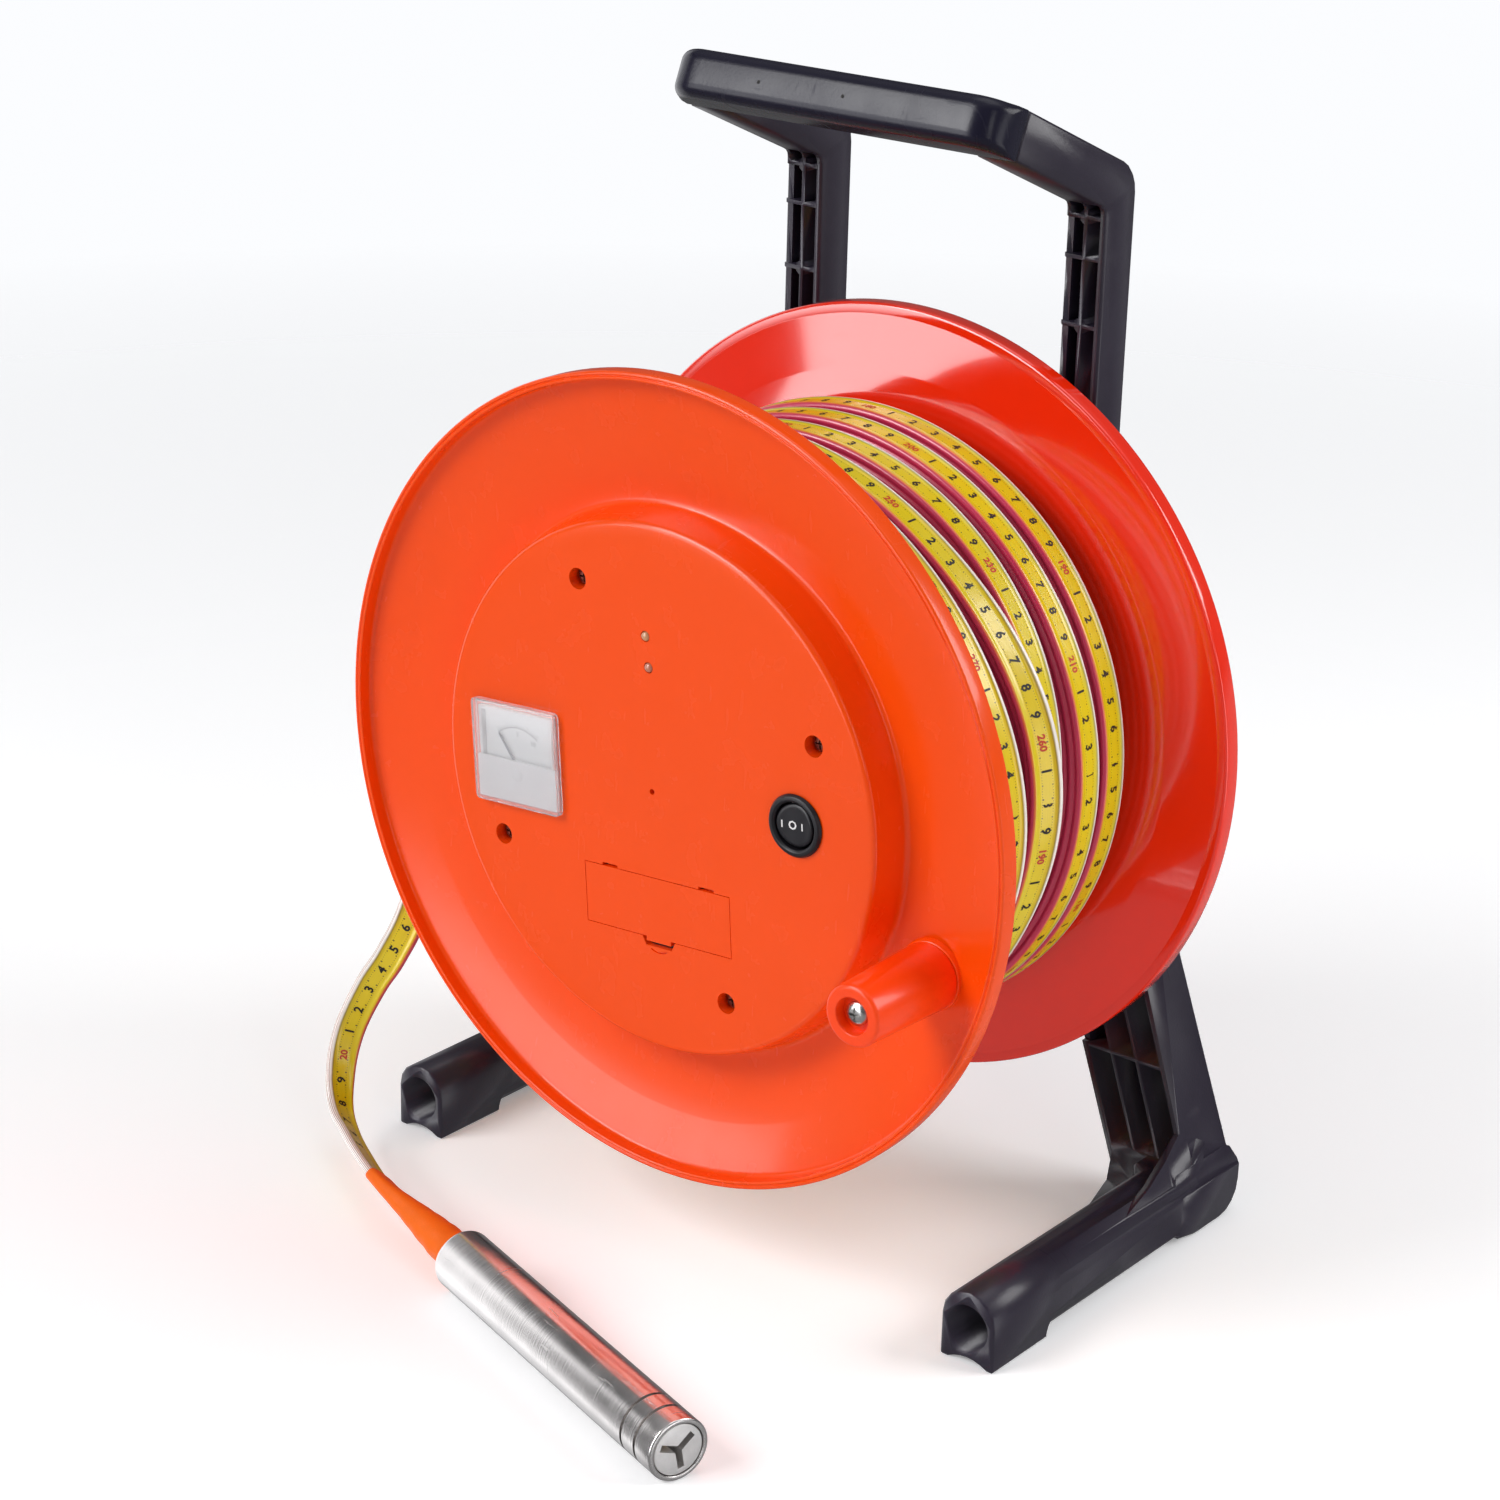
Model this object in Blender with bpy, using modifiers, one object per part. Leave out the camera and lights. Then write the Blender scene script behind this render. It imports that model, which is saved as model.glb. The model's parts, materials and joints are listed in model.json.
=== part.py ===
"""Water level meter: a flat measuring tape on a hand-wound reel, with a steel probe on its free end.

The reel turns on an axle that a moulded stand carries from behind. Its front flange is also the
instrument housing: a panel meter, a three-way rocker switch, two lamps, a buzzer and a battery hatch.
Two frames are used. In both, x runs to the right, y up and z towards the viewer, and the origin is
on the axle's line in the plane of the front rim. One is fixed to the stand, the other to the reel.
"""

from math import acos, cos, pi, radians, sin, sqrt, tan

import bmesh
import bpy
from mathutils import Matrix, Vector

MM = 0.001

# Clearances
GAP = 0.3 * MM
RUNNING = 0.3 * MM
MERGE = 0.01 * MM

# Reel flanges
FLANGE_RADIUS = 148.5 * MM
LIP_WIDTH = 3.0 * MM
LIP_DEPTH = 5.4 * MM
LIP_ROUND = 0.9 * MM
DISH_DEPTH = 12.6 * MM
SKIN = 2.5 * MM
REEL_WIDTH = 144.2 * MM
REEL_TURN = radians(4.2)

# Instrument housing on the front flange
BOSS_RADIUS = 97.2 * MM
BOSS_DRAFT = 2.7 * MM
BOSS_PROUD = 2.0 * MM
BOSS_ROUND = 1.8 * MM
BOSS_FILLET = 2.5 * MM

# Drum inside the winding
CORE_RADIUS = 90.0 * MM
CORE_WALL = 2.5 * MM
CORE_COLLAR = 11.0 * MM
WEB_DEPTH = 60.0 * MM
HUB_WALL = 5.7 * MM
FRONT_HUB_LENGTH = 28.0 * MM
REAR_HUB_LENGTH = 29.0 * MM
REAR_HUB_TAIL = 9.4 * MM

# Axle and bearings
AXLE_RADIUS = 8.0 * MM
BUSH_WALL = 2.6 * MM
BUSH_COLLAR = 3.0 * MM
BUSH_COLLAR_LENGTH = 1.5 * MM
AXLE_NOSE = 6.0 * MM
CLIP_WIDTH = 1.6 * MM
CLIP_RADIUS = 12.0 * MM
CLIP_GROOVE = 1.2 * MM
AXLE_EDGE = 0.8 * MM
SHOULDER_RADIUS = 13.0 * MM
WASHER_RADIUS = 15.0 * MM
WASHER_LENGTH = 2.0 * MM
NUT_RADIUS = 13.0 * MM
NUT_LENGTH = 8.0 * MM
AXLE_TAIL = 2.5 * MM

# Tape
TAPE_WIDTH = 12.6 * MM
TAPE_THICKNESS = 3.2 * MM
WINDING_RADIUS = 117.0 * MM
LANES = 7
LANE_GROOVE = 3.5 * MM

# Screws of the reel
SCREW_CIRCLE = 78.8 * MM
SCREW_ANGLES = (22.5, 112.5, 202.5, 292.5)
SCREW_RADIUS = 1.8 * MM
SCREW_HEAD_RADIUS = 3.3 * MM
SCREW_HEAD_LENGTH = 2.4 * MM
SCREW_HEAD_EDGE = 0.5 * MM
SCREW_LENGTH = 14.0 * MM
SCREW_SINK = 3.4 * MM
POST_RADIUS = 5.6 * MM
POST_BORE_DEPTH = 16.0 * MM
CUP_WALL = 1.6 * MM

# Panel meter
METER_AT = (-62.7 * MM, 2.0 * MM)
METER_SIZE = (40.5 * MM, 38.5 * MM)
METER_PROUD = 2.6 * MM
METER_WALL = 1.3 * MM
METER_CORNER = 1.6 * MM
METER_TRAY = 2.6 * MM
METER_BODY_INSET = 2.4 * MM
METER_BODY_DEPTH = 11.0 * MM
DIAL_THICKNESS = 0.8 * MM
NEEDLE_PIVOT = (0.0, -5.0 * MM)
NEEDLE_LENGTH = 15.0 * MM
NEEDLE_TAIL = 3.0 * MM
NEEDLE_WIDTH = 1.0 * MM
NEEDLE_THICKNESS = 0.5 * MM
NEEDLE_LIFT = 0.2 * MM
NEEDLE_HUB_RADIUS = 1.5 * MM
NEEDLE_REST = radians(36)

# Rocker switch
SWITCH_AT = (64.2 * MM, 0.4 * MM)
BEZEL_RADIUS = 11.5 * MM
BEZEL_PROUD = 1.6 * MM
BEZEL_EDGE = 0.5 * MM
SWITCH_BARREL_RADIUS = 10.0 * MM
SWITCH_BARREL_DEPTH = 12.0 * MM
ROCKER_RADIUS = 7.8 * MM
ROCKER_RIM = 0.7 * MM
ROCKER_EDGE = 0.6 * MM
ROCKER_DEPTH = 3.6 * MM
ROCKER_CROWN = 1.2 * MM

# Battery hatch
DOOR_AT = (0.0, -43.8 * MM)
DOOR_SIZE = (66.5 * MM, 22.6 * MM)
DOOR_THICKNESS = 2.0 * MM
HINGE_TABS = (-21.5 * MM, 23.0 * MM)
HINGE_TAB_SIZE = (6.4 * MM, 1.0 * MM, 1.4 * MM)
TAB_ROOT = 2.7 * MM
LATCH_WIDTH = 15.0 * MM
LATCH_NOTCH = 3.2 * MM
BOX_WALL = 1.6 * MM
BOX_MARGIN = 1.9 * MM
BOX_DEPTH = 31.0 * MM
BATTERY_EDGE = 1.5 * MM
BATTERY_SIZE = (48.5 * MM, 17.5 * MM, 26.5 * MM)

# Circuit board, lamps and buzzer
BOARD_SIZE = (48.0 * MM, 74.0 * MM)
BOARD_AT = (0.0, 27.0 * MM)
BOARD_THICKNESS = 1.6 * MM
BOARD_DROP = 11.5 * MM
STANDOFFS = (-18.0 * MM, 18.0 * MM)
STANDOFF_RADIUS = 2.6 * MM
LAMPS = {"lamp_power": (0.0, 56.7 * MM), "lamp_contact": (0.8 * MM, 45.5 * MM)}
LAMP_RADIUS = 1.7 * MM
LAMP_PROUD = 0.8 * MM
BUZZER_RADIUS = 6.0 * MM
BUZZER_HOLE = 1.1 * MM
BUZZER_DROP = 1.2 * MM

# Crank knob
KNOB_CIRCLE = 121.3 * MM
KNOB_ANGLE = -22.5
KNOB_REACH = 35.5 * MM
KNOB_RADIUS = 11.0 * MM
KNOB_DRAFT = 1.2 * MM
KNOB_EDGE = 1.2 * MM
KNOB_COUNTERBORE = 6.6 * MM
KNOB_COUNTERBORE_DEPTH = 4.5 * MM
KNOB_PAD_LEVEL = 7.0 * MM
REAR_PAD_LEVEL = 14.2 * MM
BOLT_RADIUS = 2.4 * MM
BOLT_HEAD_RADIUS = 4.2 * MM
BOLT_HEAD_LENGTH = 2.6 * MM
BOLT_NUT_RADIUS = 4.4 * MM
BOLT_NUT_LENGTH = 3.0 * MM

# Stand
AXLE_HEIGHT = 185.4 * MM
STAND_CLEARANCE = 11.0 * MM
STAND_DEPTH = 18.3 * MM
STRUT_OUTER = 72.0 * MM
STRUT_WIDTH = 17.5 * MM
STRUT_WALL = 2.6 * MM
RIB = 1.4 * MM
WALL_STEP = 2.0 * MM
OUTER_KNEE = 22.0 * MM
INNER_KNEE = -36.0 * MM
LEG_SPREAD = 35.7 * MM
LEG_MEETS_FOOT = 16.7468 * MM
FRONT_LEAN = 0.056
RIB_LEVELS = [y * MM for y in (195, 188.7, 174, 149.4, 118, 88, 59, 30, 0, -30, -61, -92, -122)]
CHANNEL_LIFT = 27.4 * MM
LEG_LIFT = 15.4 * MM
SPIGOTS = [y * MM for y in (188.7, 149.4)]
HUB_SCREW_LEVELS = (30.0 * MM, -30.0 * MM)
SPIGOT_RADIUS = 2.8 * MM
HUB_SPIGOT_RADIUS = 5.0 * MM

# Handle
ARM_TILT = radians(23.0)
ARM_HEIGHT = 18.0 * MM
ARM_FOOT = 193.0 * MM
ARM_EDGE = 1.1 * MM
GRIP_REACH = 72.0 * MM
GRIP_AHEAD = 74.7 * MM
GRIP_DEPTH = 18.0 * MM
GRIP_CORNER = 13.0 * MM
GRIP_ROUND = 2.6 * MM
ARM_CORNER = 13.0 * MM

# Feet
FOOT_OUTER = 143.8 * MM
FOOT_WIDTH = 22.8 * MM
FOOT_HEIGHT = 28.4 * MM
FOOT_LIFT = 1.4 * MM
FOOT_FRONT = 16.0 * MM
FOOT_BORE_RADIUS = 8.7 * MM
FOOT_BORE_HEIGHT = 14.6 * MM
FOOT_BORE_LENGTH = 120.0 * MM
SHOE_LENGTH = 42.0 * MM
SHOE_SCOOP = 9.0 * MM
SHOE_ARCH = 2.3 * MM
SHOE_PRONG = 3.0 * MM
HEEL_BEHIND = 4.5 * MM
HEEL_AHEAD = 19.2 * MM
HEEL_ROUND = 13.0 * MM
HEEL_SLOPE = 8.0 * MM
HEEL_EDGE = 1.6 * MM
SHOE_EDGE = 0.8 * MM

# Webs that sweep from the leg on to the foot. Each station is its depth behind the stand's front and its
# corners, as the distance out from the foot's outer side and the height over the floor.
INNER_WEB = [
    (0.8, (-41.8, 9.4), (-3.8, 9.4), (-3.8, 35.4), (-41.8, 35.4)),
    (-9.2, (-37.8, 7.4), (-3.8, 7.4), (-4.8, 25.4), (-37.8, 25.4)),
    (-19.2, (-33.3, 6.4), (-3.8, 6.4), (-3.8, 16.9), (-33.3, 16.9)),
    (-37.2, (-28.3, 6.4), (-3.8, 6.4), (-3.8, 16.4), (-28.3, 16.4)),
    (-67.2, (-22.0, 7.4), (-3.8, 7.4), (-3.8, 15.4), (-22.0, 15.4)),
]
OUTER_WEB = [
    (-5.2, (-5.8, 17.4), (-0.6, 17.4), (-10.2, 41.9), (-13.2, 41.9)),
    (-21.2, (-5.8, 17.4), (-0.6, 17.4), (-7.0, 34.4), (-9.8, 34.4)),
    (-34.2, (-5.8, 17.4), (-0.6, 17.4), (-5.2, 29.4), (-7.8, 29.4)),
    (-55.2, (-5.8, 16.9), (-0.6, 16.9), (-3.2, 24.4), (-5.4, 24.4)),
    (-71.2, (-4.8, 16.4), (-0.5, 16.4), (-1.2, 19.9), (-3.4, 19.9)),
]

# Hub crossbar behind the side frames
CROSSBAR_THICKNESS = 4.5 * MM
CROSSBAR_CORNER = 6.0 * MM
CROSSBAR_TOP = (70.0 * MM, 40.0 * MM)
CROSSBAR_BOTTOM = (84.0 * MM, -40.0 * MM)
HUB_BOSS_RADIUS = 22.0 * MM

# Probe, lying on the floor in front of the reel
PROBE_RADIUS = 11.5 * MM
PROBE_START = (-36.7 * MM, 61.2 * MM)
PROBE_END = (103.7 * MM, 106.0 * MM)
PROBE_WALL = 1.8 * MM
PROBE_CHAMFER = 1.6 * MM
PROBE_RIM = 0.6 * MM
PROBE_BACK_WALL = 6.0 * MM
PROBE_SLOTS = (9.0 * MM, 17.5 * MM)
PROBE_SLOT_WIDTH = 1.3 * MM
PROBE_SLOT_TURN = radians(50)
TIP_LENGTH = 24.0 * MM
TIP_FLOOR = 12.0 * MM
TIP_ARM_WIDTH = 2.6 * MM
TIP_ARM_REACH = 7.2 * MM
TIP_ARM_TURN = 40
ELECTRODE_RADIUS = 1.6 * MM
ELECTRODE_LENGTH = 26.0 * MM
INSULATOR_LENGTH = 8.0 * MM
SLEEVE_TIP = (-90.3 * MM, 47.9 * MM, 18.4 * MM)
SLEEVE_ROOT_RADIUS = 7.4 * MM
SLEEVE_TIP_SIZE = (6.9 * MM, 2.6 * MM)
SLEEVE_EDGE = (0.0, 0.77, 0.63)

# Route of the free tape, from the winding to the sleeve, as (x, y, z) from the axle's line at the rim
TAPE_ROUTE = [
    (-0.1180, 0.0152, -0.0248),
    (-0.1218, -0.0180, -0.0242),
    (-0.1258, -0.0540, -0.0200),
    (-0.1308, -0.0880, -0.0120),
    (-0.1368, -0.1069, -0.0055),
    (-0.1434, -0.1201, -0.0010),
    (-0.1500, -0.1381, 0.0040),
    (-0.1500, -0.1532, 0.0095),
    (-0.1428, -0.1662, 0.0170),
    (-0.1236, -0.1690, 0.0290),
    (-0.0909, -0.1671, 0.0477),
]
TAPE_STEP = 7.5 * MM

# Sides of round pieces
FLANGE_SIDES = 64
DRUM_SIDES = 40
SHAFT_SIDES = 24
SCREW_SIDES = 12
SLEEVE_SIDES = 16

# Values that follow from those above
LIP_INNER = FLANGE_RADIUS - LIP_WIDTH
BOSS_FOOT = BOSS_RADIUS + BOSS_DRAFT
COVER_INSIDE = BOSS_PROUD - SKIN
CORE_FRONT = -(DISH_DEPTH + SKIN + GAP)
REAR_FACE = -(REEL_WIDTH - DISH_DEPTH - SKIN)
CORE_REAR = REAR_FACE + GAP
BUSH_BORE = (AXLE_RADIUS + RUNNING) / cos(pi / SHAFT_SIDES)
BUSH_OUTER = BUSH_BORE + BUSH_WALL
HUB_BORE = BUSH_OUTER + GAP
SCREW_SEAT = BOSS_PROUD - SCREW_SINK - SCREW_HEAD_LENGTH - GAP
CUP_BOTTOM = SCREW_SEAT - CUP_WALL
POST_TOP = CUP_BOTTOM - GAP
FLOOR = -AXLE_HEIGHT
LEG_FLOOR = FLOOR + LEG_LIFT
OUTER_SPLAY = (FOOT_OUTER - STRUT_OUTER) / (OUTER_KNEE - FLOOR - LEG_MEETS_FOOT)
INNER_SPLAY = (FOOT_OUTER - LEG_SPREAD - STRUT_OUTER + STRUT_WIDTH) / (INNER_KNEE - LEG_FLOOR)
CROSS_RIBS = [*RIB_LEVELS, FLOOR + CHANNEL_LIFT]
STAND_FRONT = REEL_WIDTH + STAND_CLEARANCE
GRIP_FRONT = STAND_FRONT - GRIP_AHEAD
FOOT_X = FOOT_OUTER - FOOT_WIDTH / 2
STAND_BACK = STAND_FRONT + STAND_DEPTH
HEEL_BACK = STAND_BACK + HEEL_BEHIND
HEEL_FRONT = STAND_FRONT - HEEL_AHEAD
HUB_BOSS_FRONT = STAND_FRONT + GAP
CROSSBAR_BACK = STAND_BACK + GAP + CROSSBAR_THICKNESS
AXLE_REAR = CROSSBAR_BACK + GAP + WASHER_LENGTH + GAP + NUT_LENGTH + AXLE_TAIL
ARM_NOSE = (GRIP_FRONT, ARM_FOOT + (STAND_FRONT - GRIP_FRONT) * tan(ARM_TILT))
RIM_Y = (KNOB_REACH - AXLE_REAR) / 2


def new_collection(name):
    """Adds a collection to the scene."""
    group = bpy.data.collections.new(name)
    bpy.context.scene.collection.children.link(group)
    return group


def make_material(name, colour, roughness, metallic=0.0):
    """A Principled material of one colour."""
    material = bpy.data.materials.new(name)
    material.use_nodes = True
    shader = material.node_tree.nodes["Principled BSDF"]
    shader.inputs["Base Color"].default_value = (*colour, 1.0)
    shader.inputs["Roughness"].default_value = roughness
    shader.inputs["Metallic"].default_value = metallic
    return material


class Bench:
    """The two collections that the model is built in, and how pieces are put there."""

    def __init__(self, name):
        self.parts = new_collection(name)
        self.guides = new_collection("cutters_and_guides")

    def frame(self, name, at=(0, 0, 0), turn=(0, 0, 0), parent=None):
        """An empty that carries pieces, with its own axes."""
        empty = bpy.data.objects.new(name, None)
        empty.location = at
        empty.rotation_euler = turn
        empty.parent = parent
        self.guides.objects.link(empty)
        return empty

    def part(self, name, mesh, material, frame, at=(0, 0, 0), turn=(0, 0, 0)):
        """A piece of the object, placed in a frame."""
        piece = bpy.data.objects.new(name, mesh)
        piece.location = at
        piece.rotation_euler = turn
        piece.parent = frame
        mesh.materials.append(material)
        self.parts.objects.link(piece)
        return piece

    def guide(self, mesh, frame, at=(0, 0, 0), turn=(0, 0, 0)):
        """A cutter, or a shape to be joined on, that is not a piece of its own."""
        shape = bpy.data.objects.new("guide", mesh)
        shape.location = at
        shape.rotation_euler = turn
        shape.parent = frame
        shape.hide_render = True
        shape.display_type = "WIRE"
        self.guides.objects.link(shape)
        return shape


def combine(piece, shape, operation):
    """Cuts a shape from a piece, or joins it on."""
    modifier = piece.modifiers.new(operation.lower(), "BOOLEAN")
    modifier.operation = operation
    modifier.solver = "EXACT"
    modifier.object = shape


def cut(piece, shape):
    """Takes the shape away from the piece."""
    combine(piece, shape, "DIFFERENCE")


def join(piece, shape):
    """Makes the shape part of the piece."""
    combine(piece, shape, "UNION")


def bevel(piece, width, segments=2, angle=50):
    """Rounds the piece's sharp edges."""
    modifier = piece.modifiers.new("bevel", "BEVEL")
    modifier.width = width
    modifier.segments = segments
    modifier.limit_method = "ANGLE"
    modifier.angle_limit = radians(angle)


def spin(piece, sides):
    """Turns the piece's profile once round its own z axis."""
    modifier = piece.modifiers.new("screw", "SCREW")
    modifier.steps = sides
    modifier.render_steps = sides
    modifier.use_merge_vertices = True
    modifier.merge_threshold = MERGE
    return piece


def from_bmesh(shape):
    """Turns a closed bmesh into a mesh whose faces point outwards."""
    bmesh.ops.recalc_face_normals(shape, faces=shape.faces)
    mesh = bpy.data.meshes.new("shape")
    shape.to_mesh(mesh)
    shape.free()
    return mesh


def box(size_x, size_y, low, high, at=(0.0, 0.0)):
    """A box centred on a point of the xy plane, from one level to another."""
    shape = bmesh.new()
    bmesh.ops.create_cube(shape, size=1.0)
    bmesh.ops.scale(shape, vec=(size_x, size_y, high - low), verts=shape.verts)
    bmesh.ops.translate(shape, vec=(*at, (low + high) / 2), verts=shape.verts)
    return from_bmesh(shape)


def rod(radius, low, high, sides=SHAFT_SIDES, end_radius=None, at=(0.0, 0.0)):
    """A round, tapered or many-sided bar along z, with its end radius at the high level."""
    shape = bmesh.new()
    top = radius if end_radius is None else end_radius
    bmesh.ops.create_cone(
        shape, cap_ends=True, segments=sides, radius1=radius, radius2=top, depth=high - low
    )
    bmesh.ops.translate(shape, vec=(*at, (low + high) / 2), verts=shape.verts)
    return from_bmesh(shape)


def gather(meshes):
    """Puts separate closed shapes into one mesh."""
    shape = bmesh.new()
    for mesh in meshes:
        shape.from_mesh(mesh)
        bpy.data.meshes.remove(mesh)
    return from_bmesh(shape)


def profile(points, closed=False):
    """The half section of a turned piece, as (radius, level) points."""
    count = len(points)
    edges = [(i, (i + 1) % count) for i in range(count if closed else count - 1)]
    mesh = bpy.data.meshes.new("profile")
    mesh.from_pydata([(r, 0, z) for r, z in points], edges, [])
    return mesh


def rounded(corners, steps=4):
    """An outline from (x, y, radius) corners, each radius drawn as an arc of a few steps."""
    points = []
    for i, (x, y, radius) in enumerate(corners):
        here = Vector((x, y))
        if not radius:
            points.append(here)
            continue
        back = (Vector(corners[i - 1][:2]) - here).normalized()
        ahead = (Vector(corners[(i + 1) % len(corners)][:2]) - here).normalized()
        half = acos(max(-1.0, min(1.0, back.dot(ahead)))) / 2
        reach = radius / tan(half)
        centre = here + (back + ahead).normalized() * (radius / sin(half))
        first = here + back * reach - centre
        last = here + ahead * reach - centre
        whole = first.angle_signed(last)
        for k in range(steps + 1):
            turned = first.copy()
            turned.rotate(Matrix.Rotation(-whole * k / steps, 2))
            points.append(centre + turned)
    return [tuple(p) for p in points]


def rectangle(width, height, radius=0.0, at=(0.0, 0.0)):
    """A rectangle's outline round a point, with its corners rounded."""
    x, y = at
    half_w, half_h = width / 2, height / 2
    corners = [(-half_w, -half_h), (half_w, -half_h), (half_w, half_h), (-half_w, half_h)]
    return rounded([(x + a, y + b, radius) for a, b in corners], steps=2)


def plate(outline, low, high):
    """A flat outline in the xy plane, made thick from one level to another."""
    shape = bmesh.new()
    face = shape.faces.new([shape.verts.new((x, y, low)) for x, y in outline])
    swept = bmesh.ops.extrude_face_region(shape, geom=[face])
    raised = [item for item in swept["geom"] if isinstance(item, bmesh.types.BMVert)]
    bmesh.ops.translate(shape, vec=(0, 0, high - low), verts=raised)
    return from_bmesh(shape)


def loft(rings):
    """A closed solid through rings of as many points each."""
    shape = bmesh.new()
    made = [[shape.verts.new(point) for point in ring] for ring in rings]
    count = len(rings[0])
    for low, high in zip(made, made[1:]):
        for i in range(count):
            j = (i + 1) % count
            shape.faces.new((low[i], low[j], high[j], high[i]))
    shape.faces.new(made[0])
    shape.faces.new(made[-1])
    return from_bmesh(shape)


def polar(radius, degrees):
    """The point of the xy plane at a radius and an angle."""
    return radius * cos(radians(degrees)), radius * sin(radians(degrees))


def screw_profile(head_radius=SCREW_HEAD_RADIUS, length=SCREW_LENGTH, radius=SCREW_RADIUS):
    """A screw with its head's top at level 0 and its shank downwards."""
    edge = SCREW_HEAD_EDGE
    return profile(
        [
            (0, 0),
            (head_radius - edge, 0),
            (head_radius, -edge),
            (head_radius, -SCREW_HEAD_LENGTH),
            (radius, -SCREW_HEAD_LENGTH),
            (radius, -length + radius),
            (radius / 3, -length),
            (0, -length),
        ]
    )


def ring(inner, outer, low, high):
    """A plain ring's section."""
    return profile([(inner, high), (outer, high), (outer, low), (inner, low)], closed=True)


def make_materials():
    """The colours of the object's materials."""
    return {
        "orange": make_material("flange_orange", (0.90, 0.10, 0.01), 0.28),
        "black": make_material("stand_black", (0.03, 0.03, 0.035), 0.42),
        "drum": make_material("drum_grey", (0.12, 0.12, 0.13), 0.6),
        "tape": make_material("tape_yellow", (0.86, 0.62, 0.02), 0.4),
        "steel": make_material("steel", (0.62, 0.62, 0.64), 0.28, 1.0),
        "bronze": make_material("bush_bronze", (0.60, 0.42, 0.20), 0.4, 1.0),
        "clear": make_material("clear_cover", (0.92, 0.92, 0.95), 0.08),
        "white": make_material("dial_white", (0.90, 0.90, 0.88), 0.5),
        "switch": make_material("switch_black", (0.02, 0.02, 0.02), 0.3),
        "board": make_material("board_green", (0.02, 0.20, 0.07), 0.5),
        "battery": make_material("battery_case", (0.10, 0.11, 0.16), 0.35),
        "sleeve": make_material("sleeve_orange", (0.95, 0.28, 0.01), 0.5),
        "insulator": make_material("insulator_white", (0.88, 0.88, 0.86), 0.4),
        "lens": make_material("lamp_lens", (0.75, 0.20, 0.12), 0.15),
    }


def dish_outside(level, inward):
    """The dish of a flange seen from outside, from beside the middle out over the lip's edge.

    level is the rim's plane and inward is the direction of the reel's middle, -1 or 1.
    """
    return [
        (BOSS_FOOT + BOSS_FILLET, level + inward * DISH_DEPTH),
        (LIP_INNER, level + inward * LIP_DEPTH),
        (LIP_INNER, level + inward * LIP_ROUND),
        (LIP_INNER + LIP_ROUND, level),
        (FLANGE_RADIUS - LIP_ROUND, level),
        (FLANGE_RADIUS, level + inward * LIP_ROUND),
    ]


def dish_inside(level, inward):
    """The face of the same dish that touches the tape, from the lip's edge inwards."""
    depth = LIP_DEPTH + SKIN
    return [
        (FLANGE_RADIUS, level + inward * (depth - LIP_ROUND)),
        (FLANGE_RADIUS - LIP_ROUND, level + inward * depth),
        (LIP_INNER, level + inward * depth),
        (BOSS_FOOT + BOSS_FILLET, level + inward * (DISH_DEPTH + SKIN)),
    ]


def front_flange(bench, reel, material):
    """The front flange, moulded in one with the round instrument housing, and everything cut in it."""
    face = [
        (0, BOSS_PROUD),
        (BOSS_RADIUS - BOSS_ROUND, BOSS_PROUD),
        (BOSS_RADIUS - BOSS_ROUND * 0.3, BOSS_PROUD - BOSS_ROUND * 0.3),
        (BOSS_RADIUS, BOSS_PROUD - BOSS_ROUND),
        (BOSS_FOOT, -DISH_DEPTH + BOSS_FILLET),
        (BOSS_FOOT + BOSS_FILLET * 0.3, -DISH_DEPTH + BOSS_FILLET * 0.3),
    ]
    back = [
        (BOSS_FOOT - SKIN, -DISH_DEPTH - SKIN),
        (BOSS_RADIUS - SKIN, COVER_INSIDE),
        (0, COVER_INSIDE),
    ]
    section = face + dish_outside(0, -1) + dish_inside(0, -1) + back
    flange = bench.part("front_flange", profile(section), material, reel)
    spin(flange, FLANGE_SIDES)

    screws = [polar(SCREW_CIRCLE, angle) for angle in SCREW_ANGLES]
    knob = polar(KNOB_CIRCLE, KNOB_ANGLE)
    pad_radius = KNOB_RADIUS + KNOB_DRAFT + GAP
    inside = COVER_INSIDE + SKIN / 2
    cup = SCREW_HEAD_RADIUS + 2 * GAP
    join(flange, bench.guide(gather([rod(cup + CUP_WALL, CUP_BOTTOM, inside, at=p) for p in screws]), reel))
    join(flange, bench.guide(rod(pad_radius, -KNOB_PAD_LEVEL - SKIN, -KNOB_PAD_LEVEL, at=knob), reel))
    pad = rod(BOLT_NUT_RADIUS + GAP, -REAR_PAD_LEVEL, -KNOB_PAD_LEVEL - SKIN / 2, at=knob)
    join(flange, bench.guide(pad, reel))
    low = -BOARD_DROP + GAP
    posts = [rod(STANDOFF_RADIUS, low, inside, SCREW_SIDES, at=(x, BOARD_AT[1])) for x in STANDOFFS]
    join(flange, bench.guide(gather(posts), reel))

    over = BOSS_PROUD + SKIN
    under = COVER_INSIDE - SKIN
    holes = [rod(cup, SCREW_SEAT, over, at=p) for p in screws]
    cut(flange, bench.guide(gather(holes), reel))
    holes = [rod(SCREW_RADIUS + GAP, CUP_BOTTOM - SKIN, over, SCREW_SIDES, at=p) for p in screws]
    holes.append(rod(BOLT_RADIUS + GAP, -2 * REAR_PAD_LEVEL, over, SCREW_SIDES, at=knob))
    holes += [rod(LAMP_RADIUS + GAP, under, over, SCREW_SIDES, at=p) for p in LAMPS.values()]
    holes.append(rod(BUZZER_HOLE, under, over, SCREW_SIDES))
    holes.append(rod(SWITCH_BARREL_RADIUS + GAP, under, over, at=SWITCH_AT))
    hole = [side - 2 * METER_BODY_INSET for side in METER_SIZE]
    holes.append(box(*hole, under, over, at=METER_AT))
    holes.append(plate(hatch_outline(), under, over))
    cut(flange, bench.guide(gather(holes), reel))


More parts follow.
